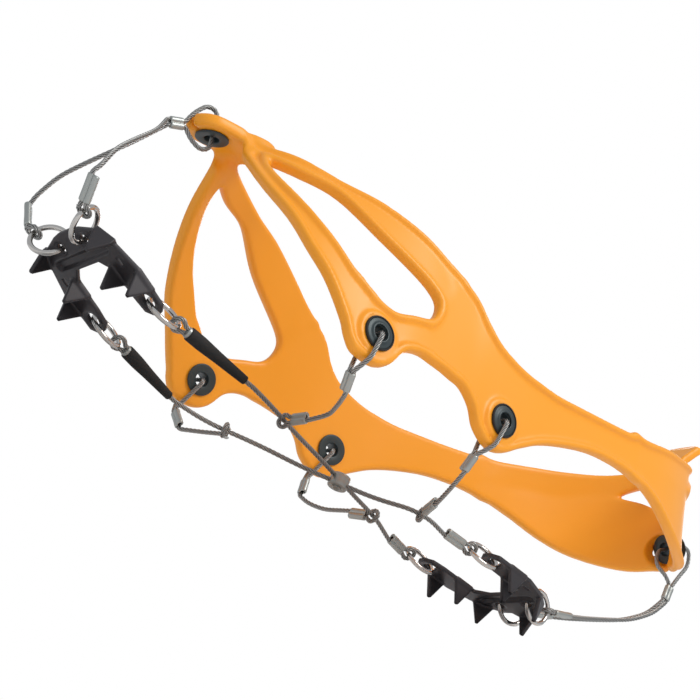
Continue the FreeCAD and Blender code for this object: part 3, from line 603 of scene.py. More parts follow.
def harness_distance(step, rim_height):
    """Distance field of the whole harness: a wall with rounded edges whose outer face is
    lowered inside its rim, h < WALL - drop * smooth_step(e), with the grommets' seats cut."""
    lo, hi = np.array(CAD_BOX) / MM
    axes = grid(lo - 2, hi + 2, step)
    cells = int(np.ceil((hi[1] + 2) / step)) + 2
    axes[1] = (np.arange(2 * cells) - cells + 0.5) * step
    half = [axes[0], axes[1][cells:], axes[2]]
    edge, height = harness_fields(half)
    x, y, z = np.meshgrid(*half, indexing="ij", sparse=True)
    keep = np.full(edge.shape, 9.0, np.float32)
    seat = np.full(edge.shape, -9.0, np.float32)
    for name, radius in BOSS_R.items():
        c, n = (np.array(v, np.float32) for v in GROMMETS[name])
        h = (x - c[0]) * n[0] + (y - c[1]) * n[1] + (z - c[2]) * n[2]
        r = np.sqrt(np.maximum((x - c[0]) ** 2 + (y - c[1]) ** 2 + (z - c[2]) ** 2 - h * h, 0))
        near = np.abs(h) < 12
        keep = np.where(near, np.minimum(keep, r), keep)
        bore = BARREL_R + SEAT_GAP - r
        flange = FLANGE_R + FLANGE_ROOM - r
        cut = np.maximum(bore, np.minimum(flange, np.maximum(h - WALL, -h)))
        seat = np.maximum(seat, np.where(near, cut, -9))
    drop = rim_height * smooth_step(edge, RIM_IN, RIM_OUT) * smooth_step(keep, PAD_IN, PAD_OUT)
    outer = np.maximum(height - WALL + drop, -height)
    d = rounded_section(-edge, outer, EDGE_ROUND)
    sub = [np.searchsorted(ax, at) for ax, at in zip(half, TAB_CORNER)]
    cut = (slice(0, sub[0]), slice(0, sub[1]), slice(sub[2], None))
    tab = pull_tab_distance(*np.meshgrid(half[0][cut[0]], half[1][cut[1]], half[2][cut[2]], indexing="ij"))
    d[cut] = smooth_min(d[cut], tab, 2.0)
    d = np.maximum(d, seat)
    return np.concatenate([d[:, ::-1], d], axis=1), axes


def relax(verts, quads, rounds=1, share=0.4):
    """Moves each vertex towards the mean of its quads' corners, to even out the grid's steps."""
    for _ in range(rounds):
        mean = verts[quads].mean(1)
        count = np.bincount(quads.ravel(), minlength=len(verts))
        near = np.stack([np.bincount(quads.ravel(), np.repeat(mean[:, i], 4), len(verts)) / count
                         for i in range(3)], 1)
        verts = verts + (near - verts) * share
    return verts


class CLEAT_OT_harness(Step):
    """Moulded elastomer harness: one smooth body with a raised rim along every edge"""

    bl_idname = "cleat.harness"
    bl_label = "Build harness"

    def build(self, look):
        step = look.harness_step / MM * 1.0
        field, axes = harness_distance(step, look.rim_height / MM)
        verts, quads = surface_net(field, axes)
        obj = mesh_object("harness_moulding", relax(verts, quads, 2), quads)
        finish_piece(obj, ROOT, "elastomer", coat("elastomer"), "elastomer_harness")


class CLEAT_OT_grommets(Step):
    """Two-part grommets: a dished outer flange with a rolled lip and a flat inner washer"""

    bl_idname = "cleat.grommets"
    bl_label = "Build grommets"

    def build(self, look):
        t = FLANGE_T
        for name, (centre, axis) in GROMMETS.items():
            base = WALL + FACE_GAP
            outer = [(2.95, 0.1), (2.95, base + 0.3), (2.55, base + t + 0.15), (2.7, base + t + 0.42),
                     (3.1, base + t + 0.42), (3.5, base + t + 0.1), (4.0, base + t - 0.08),
                     (4.7, base + t - 0.1), (4.94, base + t - 0.2), (4.96, base), (BARREL_R, base),
                     (BARREL_R, 0.1)]
            lip = [(4.98, base + 0.02), (4.98, base + t - 0.1), (5.12, base + t + 0.06),
                   (5.4, base + t + 0.02), (5.56, base + t - 0.2), (FLANGE_R, base + t * 0.4),
                   (5.5, base + 0.02)]
            inner = [(HOLE_R, -0.5), (2.62, -t), (5.3, -t - 0.02), (5.55, -t + 0.15), (FLANGE_R, -0.4),
                     (5.45, -0.04), (2.93, -0.02), (2.93, 4.9), (HOLE_R, 4.9)]
            for half, profile in (("outer", outer), ("inner", inner)):
                node = f"grommet_{half}_{name}"
                obj = mesh_object(node + "_shape", *lathe(profile, centre, axis))
                finish_piece(obj, ROOT, "grommet", coat("grommet"), node)
                edge = obj.modifiers.new("edge", "BEVEL")
                edge.width, edge.segments = 0.0001, 2
            obj = mesh_object(f"grommet_lip_{name}", *lathe(lip, centre, axis))
            finish_piece(obj, ROOT, "sleeve", coat("sleeve"))


# ---- rings, wire routes and their fittings ------------------------------------------
CABLE_R, RING_WIRE, RING_MEAN = 0.8, 0.85, 5.7
STRAND_GAP = 2 * CABLE_R + 0.15     # between the two strands in a ferrule
EYE_ARC = CABLE_R + RING_WIRE + 0.45    # a cable's eye keeps 0.45 mm off what it goes round
EYE_BEND = EYE_ARC - 0.02
NECK = 3.1                          # what an eye goes round to the face of its ferrule
MOUTH = 0.8                         # a strand bends this far outside a ferrule
MOUTH_REACH, SHOULDER_REACH = MOUTH - 0.05, 0.42
EYELET_BEND = 1.7                   # where a side cable goes in and out of its eyelet
FLANGE_T = 0.8                      # thickness of a grommet's flange
SHORT_CRIMP, TOP_CRIMP, LONG_CRIMP = 3.0, 6.0, 8.5
SLEEVE_START, SLEEVE_SHY = 1.0, 2.5     # sleeve behind the crimp's face, and short of the next bend
CLAMP = (85.8, -0.4, 4.6)           # middle of the crossing
CROSS_LIFT = CABLE_R + 0.15
PLATE_T, SPIKE_W, SPIKE_H = 1.5, 7.2, 8.0
FRONT_HOLES = ((0, 16.4), (24.4, 6.9))      # u, v of the arm ring's hole and the toe ring's
HEEL_HOLES = ((27.2, 16.5), (0, 6.9))       # the same for the arm ring and the rear ring
PLATE_FRAMES = {"front": (place((181.0, 0, RING_MEAN + 0.1)), 19.0),
                "heel": (place((0, 0, SPIKE_H)), 0.0)}      # origin, and nose-up pitch in degrees
RINGS = {
    # plate, hole, the way its cable pulls, and where its plane leans (None: upright on its plate)
    "front_arm_ring": ("front", FRONT_HOLES[0], (-11.4, 1.2, -1.0), (0, 1, 1)),
    "toe_ring": ("front", FRONT_HOLES[1], (7.0, 7.9, 2.7), None),
    "heel_arm_ring": ("heel", HEEL_HOLES[0], (11.3, -0.6, -1.6), (0, 1, 1)),
    "heel_rear_ring": ("heel", HEEL_HOLES[1], (-11.0, -1.4, 3.2), (0, 1, 0)),
}
CROSS_ROUTES = {
    # from the front arm ring on the named side: the sleeve's end, then on to the other side's
    # heel ring, with None for the height where the two cables pass in the clamp
    "right": [(141, -23.5, 3.0), (128.0, -22.4, 3.4), (111, -13.4, 4.0), (97, -6.3, None),
              (76, 7.6, None), (66, 15.2, 5.0), (58.5, 16.9, 5.3)],
    "left": [(140, 19.2, 2.8), (129.5, 15.6, 3.4), (113, 8.2, 4.6), (97, 2.6, None),
             (75, -4.2, None), (66.5, -7.2, 6.0), (60.0, -9.4, 6.0)],
}
SIDE_ROUTES = {
    # the harness rim below the eyelet, the crimp's line, the single strand, and the low ferrule's length
    "front": ((126.0, 48.0, 16.0), (127.4, 48.6, 11.6), (125.0, 45.4, 6.9),
              [(120.6, 38.0, 6.4), (116.0, 27.6, 7.0)], 5.6),
    "rear": ((69.6, 43.5, 23.0), (71.8, 44.4, 18.6), (72.2, 42.6, 12.9),
             [(70.6, 38.4, 9.2), (67.6, 31.6, 7.8)], 7.5),
}
# which cross cable a side cable's low eye goes round, on which of its runs and how far along
SIDE_TIPS = {"front_left": ("left", 9, 0.55), "front_right": ("right", 9, 0.35),
             "rear_left": ("right", -10, 0.5), "rear_right": ("left", -10, 0.5)}
END_ROUTES = {
    # ring, centre crimp's place, direction and length, leg from the ring up, loop through the grommet
    "toe": ("toe_ring", (192.6, 0, 70.9), (0.85, 0, -0.53), 5.0,
            [(215.4, 20.2, 29.0), (213.2, 17.6, 38.0), (208.6, 13.6, 46.5), (201.5, 7.4, 58.5)],
            [(191.2, 0, 77.2), (188.4, 0, 82.4), (184.35, 0, 83.0), (180.9, 0, 70.2),
             (183.6, 0, 67.6), (188.2, 0, 68.4)]),
    "heel": ("heel_rear_ring", (-68.6, 0, 54.2), (0.06, 0, -1), 5.8,
             [(-29.5, 4.4, 18.6), (-40.5, 3.2, 24.2), (-53.0, 2.2, 31.0), (-63.2, 1.5, 39.6)],
             [(-71.6, 0, 60.6), (-74.6, 0, 67.0), (-71.8, 0, 73.8), (-56.6, 0, 63.2),
              (-58.2, 0, 58.0), (-64.8, 0, 56.8)]),
}
FREE = 1e3                          # a bend that only its runs limit
BEND_SHARE = 0.45                   # of the shorter run beside it, the most a bend takes
CABLE_POINTS = 5


def on_plate(plate, points):
    """Points u, v, w of a plate in the object's frame: turned nose up by its pitch, then moved."""
    origin, pitch = PLATE_FRAMES[plate]
    u, v, w = np.moveaxis(np.asarray(points, float), -1, 0)
    c, s = np.cos(np.radians(pitch)), np.sin(np.radians(pitch))
    return origin + np.stack([u * c - w * s, v, u * s + w * c], -1)


def square_to(pull, lean):
    """Unit part of lean that is square to the unit vector pull."""
    return unit(lean - pull * (pull @ np.asarray(lean, float)))


def ring_pose(name, s):
    """Hole, unit pull and unit normal of a ring; its middle lies one mean radius along the pull."""
    plate, (u, v), pull, lean = RINGS[name]
    hole = on_plate(plate, (u, s * v, 0))
    pull = unit(np.array(pull) * (1, s, 1))
    if lean is None:
        lean = np.cross(on_plate(plate, (0, 0, 1)) - PLATE_FRAMES[plate][0], pull)
    return hole, pull, square_to(pull, lean)


def corner(p, reach=FREE, radius=0.0):
    """A corner of a route, the most its bend may reach, and its radius where that is fixed."""
    return (*p, reach, radius)


def eye(tip, pull, side, along, length):
    """An eye round something at tip: the dead strand in its ferrule, round, and back through the
    ferrule.  The strands lie STRAND_GAP apart along side.  Gives the corners and the ferrule."""
    axis = unit(along)
    base = tip + pull * NECK
    half, arc = side * (STRAND_GAP / 2), side * EYE_ARC
    near, far = tip + pull * 0.45, tip - pull * EYE_ARC
    corners = [corner(base + half + axis * (length - 0.6)),
               corner(base + half - axis * MOUTH, MOUTH_REACH), corner(near + arc, SHOULDER_REACH),
               corner(far + arc, radius=EYE_BEND), corner(far - arc, radius=EYE_BEND),
               corner(near - arc, SHOULDER_REACH), corner(base - half - axis * MOUTH, MOUTH_REACH),
               corner(base - half + axis * (length + MOUTH), MOUTH_REACH)]
    return corners, (base, axis, side, length)


def ring_eye(ring, s, aim, length):
    """The eye of a cable round a ring's far side, whose ferrule points at aim."""
    hole, pull, normal = ring_pose(ring, s)
    tip = hole + pull * 2 * RING_MEAN
    start = tip + pull * NECK if ring == "front_arm_ring" else tip
    return eye(tip, pull, normal, aim - start, length)


def cross_cable(name, s):
    """Ring eye, sleeve, crossing and ring eye of a long cable, with its two ferrules."""
    z = CLAMP[2] + CROSS_LIFT * s
    line = [place((x, y, z if h is None else h)) for x, y, h in CROSS_ROUTES[name]]
    head, front = ring_eye("front_arm_ring", s, line[0], SHORT_CRIMP)
    tail, rear = ring_eye("heel_arm_ring", -s, line[-1], LONG_CRIMP)
    corners = head + [corner(line[0], SLEEVE_SHY)] + [corner(p) for p in line[1:]] + tail[::-1]
    return corners, front, rear


def side_cable(name, crosses):
    """From the crimp through an eyelet and back to the crimp, then down to a cross cable's eye."""
    row, side = name.split("_")
    s = SIDES[side]
    rim, top, low, route, length = SIDE_ROUTES[row]
    eyelet, n = GROMMETS[name]
    base = place(top, s)
    down = unit(place(low, s) - base)
    turn = square_to(down, n)
    half = turn * (STRAND_GAP / 2)
    corners = [corner(base - half + down * (TOP_CRIMP - 0.6)),
               corner(base - half - down * MOUTH, MOUTH_REACH),
               corner(eyelet - n * (FLANGE_T + CABLE_R + 1.5), radius=EYELET_BEND),
               corner(eyelet + n * (WALL + FLANGE_T + CABLE_R + 0.9), radius=EYELET_BEND),
               corner(place(rim, s) + n * (WALL + CABLE_R + 0.5), 2.0),
               corner(base + half - down * MOUTH, MOUTH_REACH),
               corner(base + half + down * (TOP_CRIMP + MOUTH), MOUTH_REACH)]
    corners += [corner(place(p, s)) for p in route]
    cable, run, share = SIDE_TIPS[name]
    a, b = (np.array(crosses[cable][k][:3]) for k in (run, run + 1))
    tip = a + (b - a) * share
    pull = unit(np.array(corners[-1][:3]) - tip)
    tail, lower = eye(tip, pull, square_to(pull, np.cross(pull, b - a)), pull, length)
    return corners + tail[::-1], (base, down, turn, TOP_CRIMP), lower


def end_cable(name):
    """Both legs of the toe or heel cable, each from its ring eye through the centre crimp into
    the loop, with the ferrules."""
    ring, at, direction, length, leg, loop = END_ROUTES[name]
    base, axis = place(at), unit(direction)
    turn = np.cross((0, 1, 0), axis) * (-1 if name == "toe" else 1)
    crimps = {name + "_centre_ferrule": (base, axis, turn, length)}
    legs = []
    for side, s in SIDES.items():
        line = [place(p, s) for p in leg]
        head, crimps[f"{name}_ring_ferrule_{side}"] = ring_eye(ring, s, line[0], LONG_CRIMP)
        strand = base + turn * (s * STRAND_GAP / 2)
        legs.append(head + [corner(p) for p in line]
                    + [corner(strand + axis * (length + MOUTH), MOUTH_REACH),
                       corner(strand - axis * MOUTH, MOUTH_REACH)])
    return legs[0] + [corner(place(p)) for p in loop] + legs[1][::-1], crimps


def cable_routes():
    """Corners of every cable and base, direction, strand direction and length of every ferrule."""
    cables, crimps, crosses = {}, {}, {}
    for side, s in SIDES.items():
        crosses[side], front, rear = cross_cable(side, s)
        cables["cross_cable_" + side] = crosses[side]
        crimps["cross_front_crimp_" + side], crimps["cross_rear_ferrule_" + side] = front, rear
    for name in SIDE_TIPS:
        cables["side_cable_" + name], top, low = side_cable(name, crosses)
        crimps["side_top_ferrule_" + name], crimps["side_low_ferrule_" + name] = top, low
    for name in END_ROUTES:
        cables[name + "_cable"], ends = end_cable(name)
        crimps.update(ends)
    return cables, crimps


def bend_points(corners):
    """A route's straight runs and arcs as close points.  At a corner c between unit directions
    u and v, points of the chord from c - q u to c + q v are pushed out to the arc of radius
    q tan(a / 2), which touches both runs; a is the angle between the runs."""
    rows = np.array(corners)
    p, reach, fixed = rows[:, :3], rows[:, 3], rows[:, 4]
    run = np.linalg.norm(np.diff(p, axis=0), axis=1)
    t = np.linspace(0, 1, CABLE_POINTS)[:, None]
    out = [p[:1]]
    for i in range(1, len(p) - 1):
        u, v = unit(p[i] - p[i - 1]), unit(p[i + 1] - p[i])
        half = np.arccos(np.clip(-u @ v, -1, 1)) / 2
        q = min(BEND_SHARE * min(run[i - 1], run[i]), reach[i])
        if fixed[i]:
            q = fixed[i] / np.tan(half)
        radius = q * np.tan(half)
        centre = p[i] + unit(v - u) * radius / np.sin(half)
        pts = (p[i] - u * q) * (1 - t) + (p[i] + v * q) * t - centre
        out.append(centre + radius * pts / np.linalg.norm(pts, axis=1)[:, None])
    out.append(p[-1:])
    return np.concatenate(out)


ROUTES, FERRULES = cable_routes()


# ---- wire rope -----------------------------------------------------------------------
def spline_line(name, points):
    """The route as a NURBS spline, read back as an even line of points in millimetres."""
    curve = bpy.data.curves.new(name + "_route", "CURVE")
    curve.dimensions = "3D"
    spline = curve.splines.new("NURBS")
    spline.points.add(len(points) - 1)
    spline.points.foreach_set("co", np.hstack([points * MM, np.ones((len(points), 1))]).ravel())
    spline.order_u = 3
    spline.use_endpoint_u = True
    spline.resolution_u = 6
    holder = bpy.data.objects.new(name + "_route", curve)
    bpy.context.scene.collection.objects.link(holder)
    line = bpy.data.meshes.new_from_object(holder)
    co = np.zeros(len(line.vertices) * 3)
    line.vertices.foreach_get("co", co)
    bpy.data.objects.remove(holder)
    bpy.data.meshes.remove(line)
    co = co.reshape(-1, 3) / MM
    gap = np.linalg.norm(np.diff(co, axis=0), axis=1)
    co = co[np.concatenate([[True], gap > 1e-5])]
    s = np.concatenate([[0], np.cumsum(np.linalg.norm(np.diff(co, axis=0), axis=1))])
    even = np.linspace(0, s[-1], int(s[-1] / 0.45) + 1)
    return np.stack([np.interp(even, s, co[:, i]) for i in range(3)], 1), even


def carried_frame(line):
    """Directions square to the line that turn with it and never twist about it."""
    ahead = np.gradient(line, axis=0)
    ahead /= np.linalg.norm(ahead, axis=1)[:, None]
    u = np.zeros_like(line)
    u[0] = unit(np.cross(ahead[0], (0.21, 0.93, 0.3)))
    for i in range(1, len(line)):
        v = u[i - 1] - ahead[i] * (u[i - 1] @ ahead[i])
        u[i] = v / np.linalg.norm(v)
    return u, np.cross(ahead, u)


def rope(name, line, s, radius, lay, strands, sides=6):
    """Wire rope: strands on the helix radius R - r about a core of the same wire radius
    r = R sin(pi/n) / (1 + sin(pi/n)), turning once in each lay."""
    u, v = carried_frame(line)
    wave = np.sin(np.pi / strands)
    thin = radius * wave / (1 + wave)
    far = radius - thin
    around = np.arange(sides) * 2 * np.pi / sides
    parts = []
    for k in range(strands + 1):
        angle = 2 * np.pi * (s / lay + k / strands)
        out = np.cos(angle)[:, None] * u + np.sin(angle)[:, None] * v
        side = -np.sin(angle)[:, None] * u + np.cos(angle)[:, None] * v
        core = k == strands
        centre = line if core else line + out * far
        r = far - thin * 0.75 if core else thin * 0.97
        ringed = (centre[:, None] + np.cos(around)[None, :, None] * out[:, None] * r
                  + np.sin(around)[None, :, None] * side[:, None] * r)
        parts.append((ringed.reshape(-1, 3), grid_quads(len(line), sides)))
    return mesh_object(name, *join_grids(parts))


class CLEAT_OT_cables(Step):
    """Wire ropes: twisted strands along the route of each cable"""

    bl_idname = "cleat.cables"
    bl_label = "Build cables"

    def build(self, look):
        for node, route in ROUTES.items():
            line, s = spline_line(node, bend_points(route))
            obj = rope(node + "_rope", line, s, look.cable_radius / MM, look.cable_lay / MM, look.strands)
            finish_piece(obj, ROOT, "cable", coat("cable"), node)


# ---- rings ------------------------------------------------------------------------
class CLEAT_OT_rings(Step):
    """Welded steel rings, each with a faint weld bead"""

    bl_idname = "cleat.rings"
    bl_label = "Build rings"

    def build(self, look):
        t = np.arange(72) * 2 * np.pi / 72
        w = np.arange(14) * 2 * np.pi / 14
        for ring, side in ((ring, side) for side in SIDES for ring in RINGS):
            node = f"{ring}_{side}"
            hole, pull, n = ring_pose(ring, SIDES[side])
            centre = hole + pull * RING_MEAN
            u = unit(np.cross(n, (0.1, 0.2, 1)))
            v = np.cross(n, u)
            ahead = np.cos(t)[:, None] * u + np.sin(t)[:, None] * v
            weld = 0.07 * np.exp(-((t - 2.2) / 0.07) ** 2)
            r = RING_WIRE + weld
            pts = (centre + ahead[:, None] * (RING_MEAN + r[:, None] * np.cos(w))[..., None]
                   + n * (r[:, None] * np.sin(w))[..., None])
            obj = mesh_object(node + "_shape", pts.reshape(-1, 3), grid_quads(len(t), len(w), True))
            finish_piece(obj, node, "ring", coat("ring"), node)


# ---- ferrules, crimps, sleeves and clamp -----------------------------------------------
def barrel(name, base, along, side, length, wide=STRAND_GAP / 2, r=CABLE_R + 0.35):
    """Double-barrelled ferrule: the outline is the farther of two circles of radius r set
    wide either side, softened at the waist, with pressed flats and rounded ends."""
    n = np.cross(along, side)
    turns = 40
    around = np.arange(turns) * 2 * np.pi / turns
    c, d = np.cos(around), np.sin(around)
    reach = wide * np.abs(c) + np.sqrt(np.maximum(r * r - (wide * d) ** 2, 0.35 * r * r))
    z = np.array([0.35, 0.0, 0.03, 0.25, 0.6, 1.4])
    grow = np.array([0.5, 0.72, 0.88, 0.98, 1.0, 1.0])
    z = np.concatenate([z, np.linspace(1.6, length - 1.6, 9), length - z[::-1]])
    grow = np.concatenate([grow, np.ones(9), grow[::-1]])
    press = 1 - 0.05 * np.exp(-((z - length / 2) / (length * 0.22)) ** 4)
    x = reach * c * grow[:, None]
    y = reach * d * (grow * press)[:, None]
    pts = base + x[..., None] * side + y[..., None] * n + z[:, None, None] * along
    return mesh_object(name, pts.reshape(-1, 3), grid_quads(len(z), turns))


class CLEAT_OT_fittings(Step):
    """Crimped ferrules, the sleeves over two of them and the clamp at the crossing"""

    bl_idname = "cleat.fittings"
    bl_label = "Build fittings"

    def build(self, look):
        for node, (base, along, side, length) in FERRULES.items():
            if node.startswith("cross_front_crimp"):
                profile = [(0.4, -0.02), (1.5, 0), (1.75, 0.12), (1.85, 0.4), (1.85, length - 0.3),
                           (1.7, length), (0.4, length)]
                obj = mesh_object(node + "_shape", *lathe(profile, base, along, 40))
            else:
                obj = barrel(node + "_shape", base, along, side, length)
            finish_piece(obj, ROOT, "crimp", coat("crimp"), node)
        for side in SIDES:
            base, along, *_ = FERRULES["cross_front_crimp_" + side]
            end = place(CROSS_ROUTES[side][0])
            start = base + along * SLEEVE_START
            length = np.linalg.norm(end - start) - SLEEVE_SHY
            z = np.array([0.35, 0.06, 0.0, 0.08, 0.6, 3.0, 5.0, 7.0, length * 0.5, length * 0.8,
                          length - 0.25, length - 0.04, length])
            r = np.array([1.88, 1.9, 2.05, 2.2, 2.27, 2.27, 2.25, 2.15, 1.86, 1.6, 1.42, 1.3, 0.85])
            turns = 36
            t = np.arange(turns) * 2 * np.pi / turns
            u = unit(np.cross(along, (0, 0.2, 1)))
            v = np.cross(along, u)
            centre = start + z[:, None] * along
            pts = centre[:, None] + r[:, None, None] * (np.cos(t)[:, None] * u + np.sin(t)[:, None] * v)
            node = "cable_sleeve_" + side
            obj = mesh_object(node + "_shape", pts.reshape(-1, 3), grid_quads(len(z), turns))
            finish_piece(obj, ROOT, "sleeve", coat("sleeve"), node)
        middle = place(CLAMP)
        face = 2.3
        profile = [(0.3, -face), (2.9, -face), (3.25, -2.15), (3.4, -1.8), (3.4, -0.5), (3.3, 0), (3.4, 0.5),
                   (3.4, 1.8), (3.25, 2.15), (2.9, face), (0.3, face)]
        obj = mesh_object("crossing_clamp_shape", *lathe(profile, middle, (0, 0, 1), 56))
        finish_piece(obj, ROOT, "crimp", coat("crimp"), "crossing_clamp")
        heads = []
        for s in (1, -1):
            dome = [(0.01, 0.9), (0.5, 0.86), (1.0, 0.7), (1.4, 0.42), (1.6, 0.12), (1.66, 0), (0.01, -0.1)]
            heads.append(lathe(dome, middle + (0, 0, s * face), (0, 0, s), 40))
        obj = mesh_object("clamp_rivet_shape", *join_grids(heads))
        finish_piece(obj, ROOT, "crimp", coat("crimp"), "clamp_rivet")


# ---- spike plates -------------------------------------------------------------------
RIB_LIFT, RIB_IN, RIB_OUT = 1.25, 0.7, 2.2     # height, half width on top and at the foot
BEND_BLEND = 0.9                    # how widely a tooth blends at its fold
ARM_HOLE, END_HOLE = 2.45, 1.75     # radius of the holes for the arm rings, and for the others
PLATES = {
    # half outline u, v; holes u, v, radius; slot u, v; teeth u, v, turn; rib u and half length; body
    "front_spike_plate": dict(
        half="16.5,6.5 12.5,10.8 2.5,11.0 -2.8,11.8 -4.8,14.8 -4.8,18.2 -2.8,21.0 10.5,21.6 21.2,18.4 "
             "25.8,15.5 28.6,7.0 29.2,3.6",
        holes=[(*FRONT_HOLES[0], ARM_HOLE), (*FRONT_HOLES[1], END_HOLE)], slot=(14.2, 16.4),
        teeth=[(23.3, 17.2, -33), (10.9, 11.5, 0), (6.2, 20.7, 0)], middle_tooth=None,
        rib=(19.6, 13.2), frame="front", body="front_plate"),
    "heel_spike_plate": dict(
        half="7.2,5.5 9.6,11.0 24.8,11.2 30.0,12.1 32.0,14.9 32.0,18.1 29.6,21.1 14.0,21.5 4.6,18.1 "
             "-2.4,12.4 -5.0,9.6 -5.4,5.6 -8.8,4.2",
        holes=[(*HEEL_HOLES[0], ARM_HOLE), (*HEEL_HOLES[1], END_HOLE)], slot=(10.9, 16.5),
        teeth=[(20.0, 20.8, 0), (14.6, 11.7, 0), (1.1, 14.4, 36)], middle_tooth=(-8.1, 0, 90),
        rib=(4.0, 11.5), frame="heel", body="heel_plate"),
}


def polygon_distance(px, py, poly):
    """Signed distance in the plane to a closed polygon, negative inside."""
    best = np.full(px.shape, 1e9)
    inside = np.zeros(px.shape, bool)
    for (ax, ay), (bx, by) in zip(poly, np.roll(poly, -1, axis=0)):
        ex, ey = bx - ax, by - ay
        t = np.clip(((px - ax) * ex + (py - ay) * ey) / (ex * ex + ey * ey), 0, 1)
        best = np.minimum(best, (px - ax - t * ex) ** 2 + (py - ay - t * ey) ** 2)
        cross = (ay > py) != (by > py)
        with np.errstate(divide="ignore", invalid="ignore"):
            left = px < ex * (py - ay) / ey + ax
        inside ^= cross & left
    return np.where(inside, -1, 1) * np.sqrt(best)


def plate_distance(spec):
    """Distance to a pressed plate: a flat blank with softened edges, folded teeth blended at their
    bends, a raised rib, ring holes with a raised brim, and slots."""
    half = table(spec["half"], 2)
    poly = np.concatenate([half, (half * (1, -1))[::-1]])
    side, tip, top, shoulder = SPIKE_W / 2, 0.5, PLATE_T / 2, -1.35
    tooth = np.array([(-side, top), (side, top), (side, shoulder), (tip, -SPIKE_H), (-tip, -SPIKE_H),
                      (-side, shoulder)])

    def distance(u, v, w):
        m = np.abs(v)
        flat = polygon_distance(u[:, :, 0], v[:, :, 0], poly)
        flat = np.repeat(flat[:, :, None], u.shape[2], 2)
        ru, rv = spec["rib"]
        rib = np.hypot(u - ru, v - np.clip(v, -rv, rv))
        lift = RIB_LIFT * (1 - smooth_step(rib, RIB_IN, RIB_OUT))
        h = w - lift
        for a, b, hole in spec["holes"]:
            r = np.hypot(u - a, m - b)
            h = h - 0.25 * (1 - smooth_step(r, hole + 0.3, hole + 1.3))
        d = rounded_section(flat, np.abs(h) - PLATE_T / 2, 0.3)
        teeth = list(spec["teeth"])
        for a, b, turn in teeth + ([spec["middle_tooth"]] if spec["middle_tooth"] else []):
            c, s = np.cos(np.radians(turn)), np.sin(np.radians(turn))
            x, y = (u - a) * c + (m - b) * s, -(u - a) * s + (m - b) * c
            if turn == 90:
                x, y = v, u - a
            near = (np.abs(x) < 6) & (np.abs(y) < 4)
            t = np.full(u.shape, 9.0)
            t[near] = rounded_section(polygon_distance(x[near], w[near], tooth),
                                      np.abs(y[near]) - PLATE_T / 2, 0.22)
            d = np.where(near, smooth_min(d, t, BEND_BLEND), d)
        for a, b, hole in spec["holes"]:
            d = np.maximum(d, hole - np.hypot(u - a, m - b))
        a, b = spec["slot"]
        bar = np.hypot(np.maximum(np.abs(u - a) - 1.1, 0), np.maximum(np.abs(m - b) - 0.2, 0)) - 0.45
        return np.maximum(d, -bar)

    return distance


class CLEAT_OT_plates(Step):
    """Pressed steel spike plates with folded teeth, a stiffening rib and slots"""

    bl_idname = "cleat.plates"
    bl_label = "Build spike plates"

    def build(self, look):
        for node, spec in PLATES.items():
            half = table(spec["half"], 2)
            lo = (half[:, 0].min() - 2.5, -25.5, -SPIKE_H - 0.5)
            hi = (half[:, 0].max() + 2.5, 25.5, 3.0)
            axes = grid(lo, hi, 0.26)
            u, v, w = np.meshgrid(*axes, indexing="ij")
            verts, quads = surface_net(plate_distance(spec)(u, v, w), axes)
            verts = relax(verts, quads, 1)
            obj = mesh_object(node + "_shape", on_plate(spec["frame"], verts), quads)
            finish_piece(obj, spec["body"], "plate", coat("plate"), node)


# ---- stage --------------------------------------------------------------------------
CAMERA_AT = (0.27102, 0.41825, -0.19927)
CAMERA_RIGHT = (-0.69358, 0.61587, 0.37369)
CAMERA_UP = (0.56812, 0.14868, 0.80940)
FIELD_OF_VIEW = 24.35               # degrees
FLOOR_HALF, FLOOR_TONE = 12.0, (0.86, 0.86, 0.86)
SKY_TINT = (0.92, 0.95, 1, 1)
LAMPS = (
    # name, place, disk size, share of the key light, colour
    ("key", (-0.1, 0.75, 0.75), 0.5, 1.0, (1, 0.98, 0.95)),
    ("fill", (0.7, 0.3, -0.5), 0.6, 0.35, (0.95, 0.97, 1)),
    ("under", (-0.2, 0.5, -0.6), 0.5, 0.25, (1, 1, 1)),
    ("rim", (-0.6, -0.6, 0.5), 0.5, 0.5, (0.9, 0.95, 1)),
)


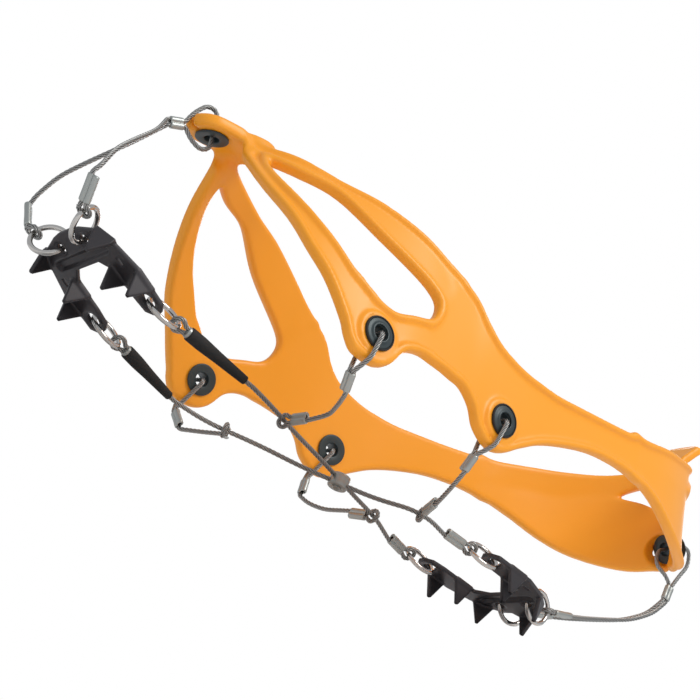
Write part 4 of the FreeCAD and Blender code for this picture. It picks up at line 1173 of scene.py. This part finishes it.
class CLEAT_OT_stage(Step):
    """Floor that shows from above only, soft light all round and the camera"""

    bl_idname = "cleat.stage"
    bl_label = "Build stage"

    def build(self, look):
        scene = bpy.context.scene
        right, up = unit(CAMERA_RIGHT), unit(CAMERA_UP)
        back = np.cross(right, up)
        data = bpy.data.cameras.new("camera")
        data.angle = np.radians(FIELD_OF_VIEW)
        data.clip_start, data.clip_end = 0.01, 50
        cam = bpy.data.objects.new("camera", data)
        cam.matrix_world = Matrix([[*r, p] for r, p in zip(np.stack([right, up, back], 1), CAMERA_AT)]
                                  + [[0, 0, 0, 1]])
        scene.collection.objects.link(cam)
        scene.camera = cam
        size = FLOOR_HALF
        floor = mesh_object("floor", np.array([(-size, -size, 0), (size, -size, 0), (size, size, 0),
                                               (-size, size, 0)]) / MM, np.array([[0, 1, 2, 3]]), False)
        paint = Paint("floor", base_color=FLOOR_TONE, roughness=0.95)
        facing = paint.node("NewGeometry").outputs["Backfacing"]
        clear = paint.node("BsdfTransparent")
        mixed = paint.node("MixShader")
        out = paint.tree.nodes["Material Output"]
        paint.tree.links.new(facing, mixed.inputs[0])
        paint.tree.links.new(paint.shader.outputs[0], mixed.inputs[1])
        paint.tree.links.new(clear.outputs[0], mixed.inputs[2])
        paint.tree.links.new(mixed.outputs[0], out.inputs[0])
        floor.data.materials.append(paint.mat)
        scene.view_settings.view_transform = "Standard"
        world = bpy.data.worlds.new("studio")
        scene.world = world
        world.use_nodes = True
        tree = world.node_tree
        seen = tree.nodes["Background"]
        lit = tree.nodes.new("ShaderNodeBackground")
        seen.inputs[0].default_value, seen.inputs[1].default_value = (1, 1, 1, 1), 1.0
        lit.inputs[0].default_value, lit.inputs[1].default_value = SKY_TINT, look.sky
        mixed, ray = tree.nodes.new("ShaderNodeMixShader"), tree.nodes.new("ShaderNodeLightPath")
        tree.links.new(ray.outputs["Is Camera Ray"], mixed.inputs[0])
        tree.links.new(lit.outputs[0], mixed.inputs[1])
        tree.links.new(seen.outputs[0], mixed.inputs[2])
        tree.links.new(mixed.outputs[0], tree.nodes["World Output"].inputs[0])
        for name, at, wide, share, colour in LAMPS:
            lamp = bpy.data.lights.new(name, "AREA")
            lamp.shape, lamp.size, lamp.energy, lamp.color = "DISK", wide, look.light * share, colour
            obj = bpy.data.objects.new(name, lamp)
            obj.location = at
            obj.rotation_euler = (Vector(at) - Vector((0, 0, 0.03))).to_track_quat("Z", "Y").to_euler()
            obj.visible_camera = False
            scene.collection.objects.link(obj)


STEPS = (CLEAT_OT_stage, CLEAT_OT_harness, CLEAT_OT_grommets, CLEAT_OT_cables, CLEAT_OT_rings,
         CLEAT_OT_fittings, CLEAT_OT_plates)


class CLEAT_PT_panel(bpy.types.Panel):
    """Sizes, colours and building steps of the ice cleats"""

    bl_idname = "CLEAT_PT_panel"
    bl_label = "Ice Cleats"
    bl_space_type = "VIEW_3D"
    bl_region_type = "UI"
    bl_category = "Ice Cleats"

    def draw(self, context):
        look = context.scene.cleat_looks
        for name in CleatLooks.__annotations__:
            self.layout.prop(look, name)
        for step in STEPS:
            self.layout.operator(step.bl_idname)


CLASSES = (CleatLooks, *STEPS, CLEAT_PT_panel)


def register():
    for cls in CLASSES:
        bpy.utils.register_class(cls)
    bpy.types.Scene.cleat_looks = PointerProperty(type=CleatLooks)


def unregister():
    del bpy.types.Scene.cleat_looks
    for cls in reversed(CLASSES):
        bpy.utils.unregister_class(cls)


def main():
    register()
    for step in STEPS:
        group, name = step.bl_idname.split(".")
        getattr(getattr(bpy.ops, group), name)()


if __name__ == "__main__":
    main()
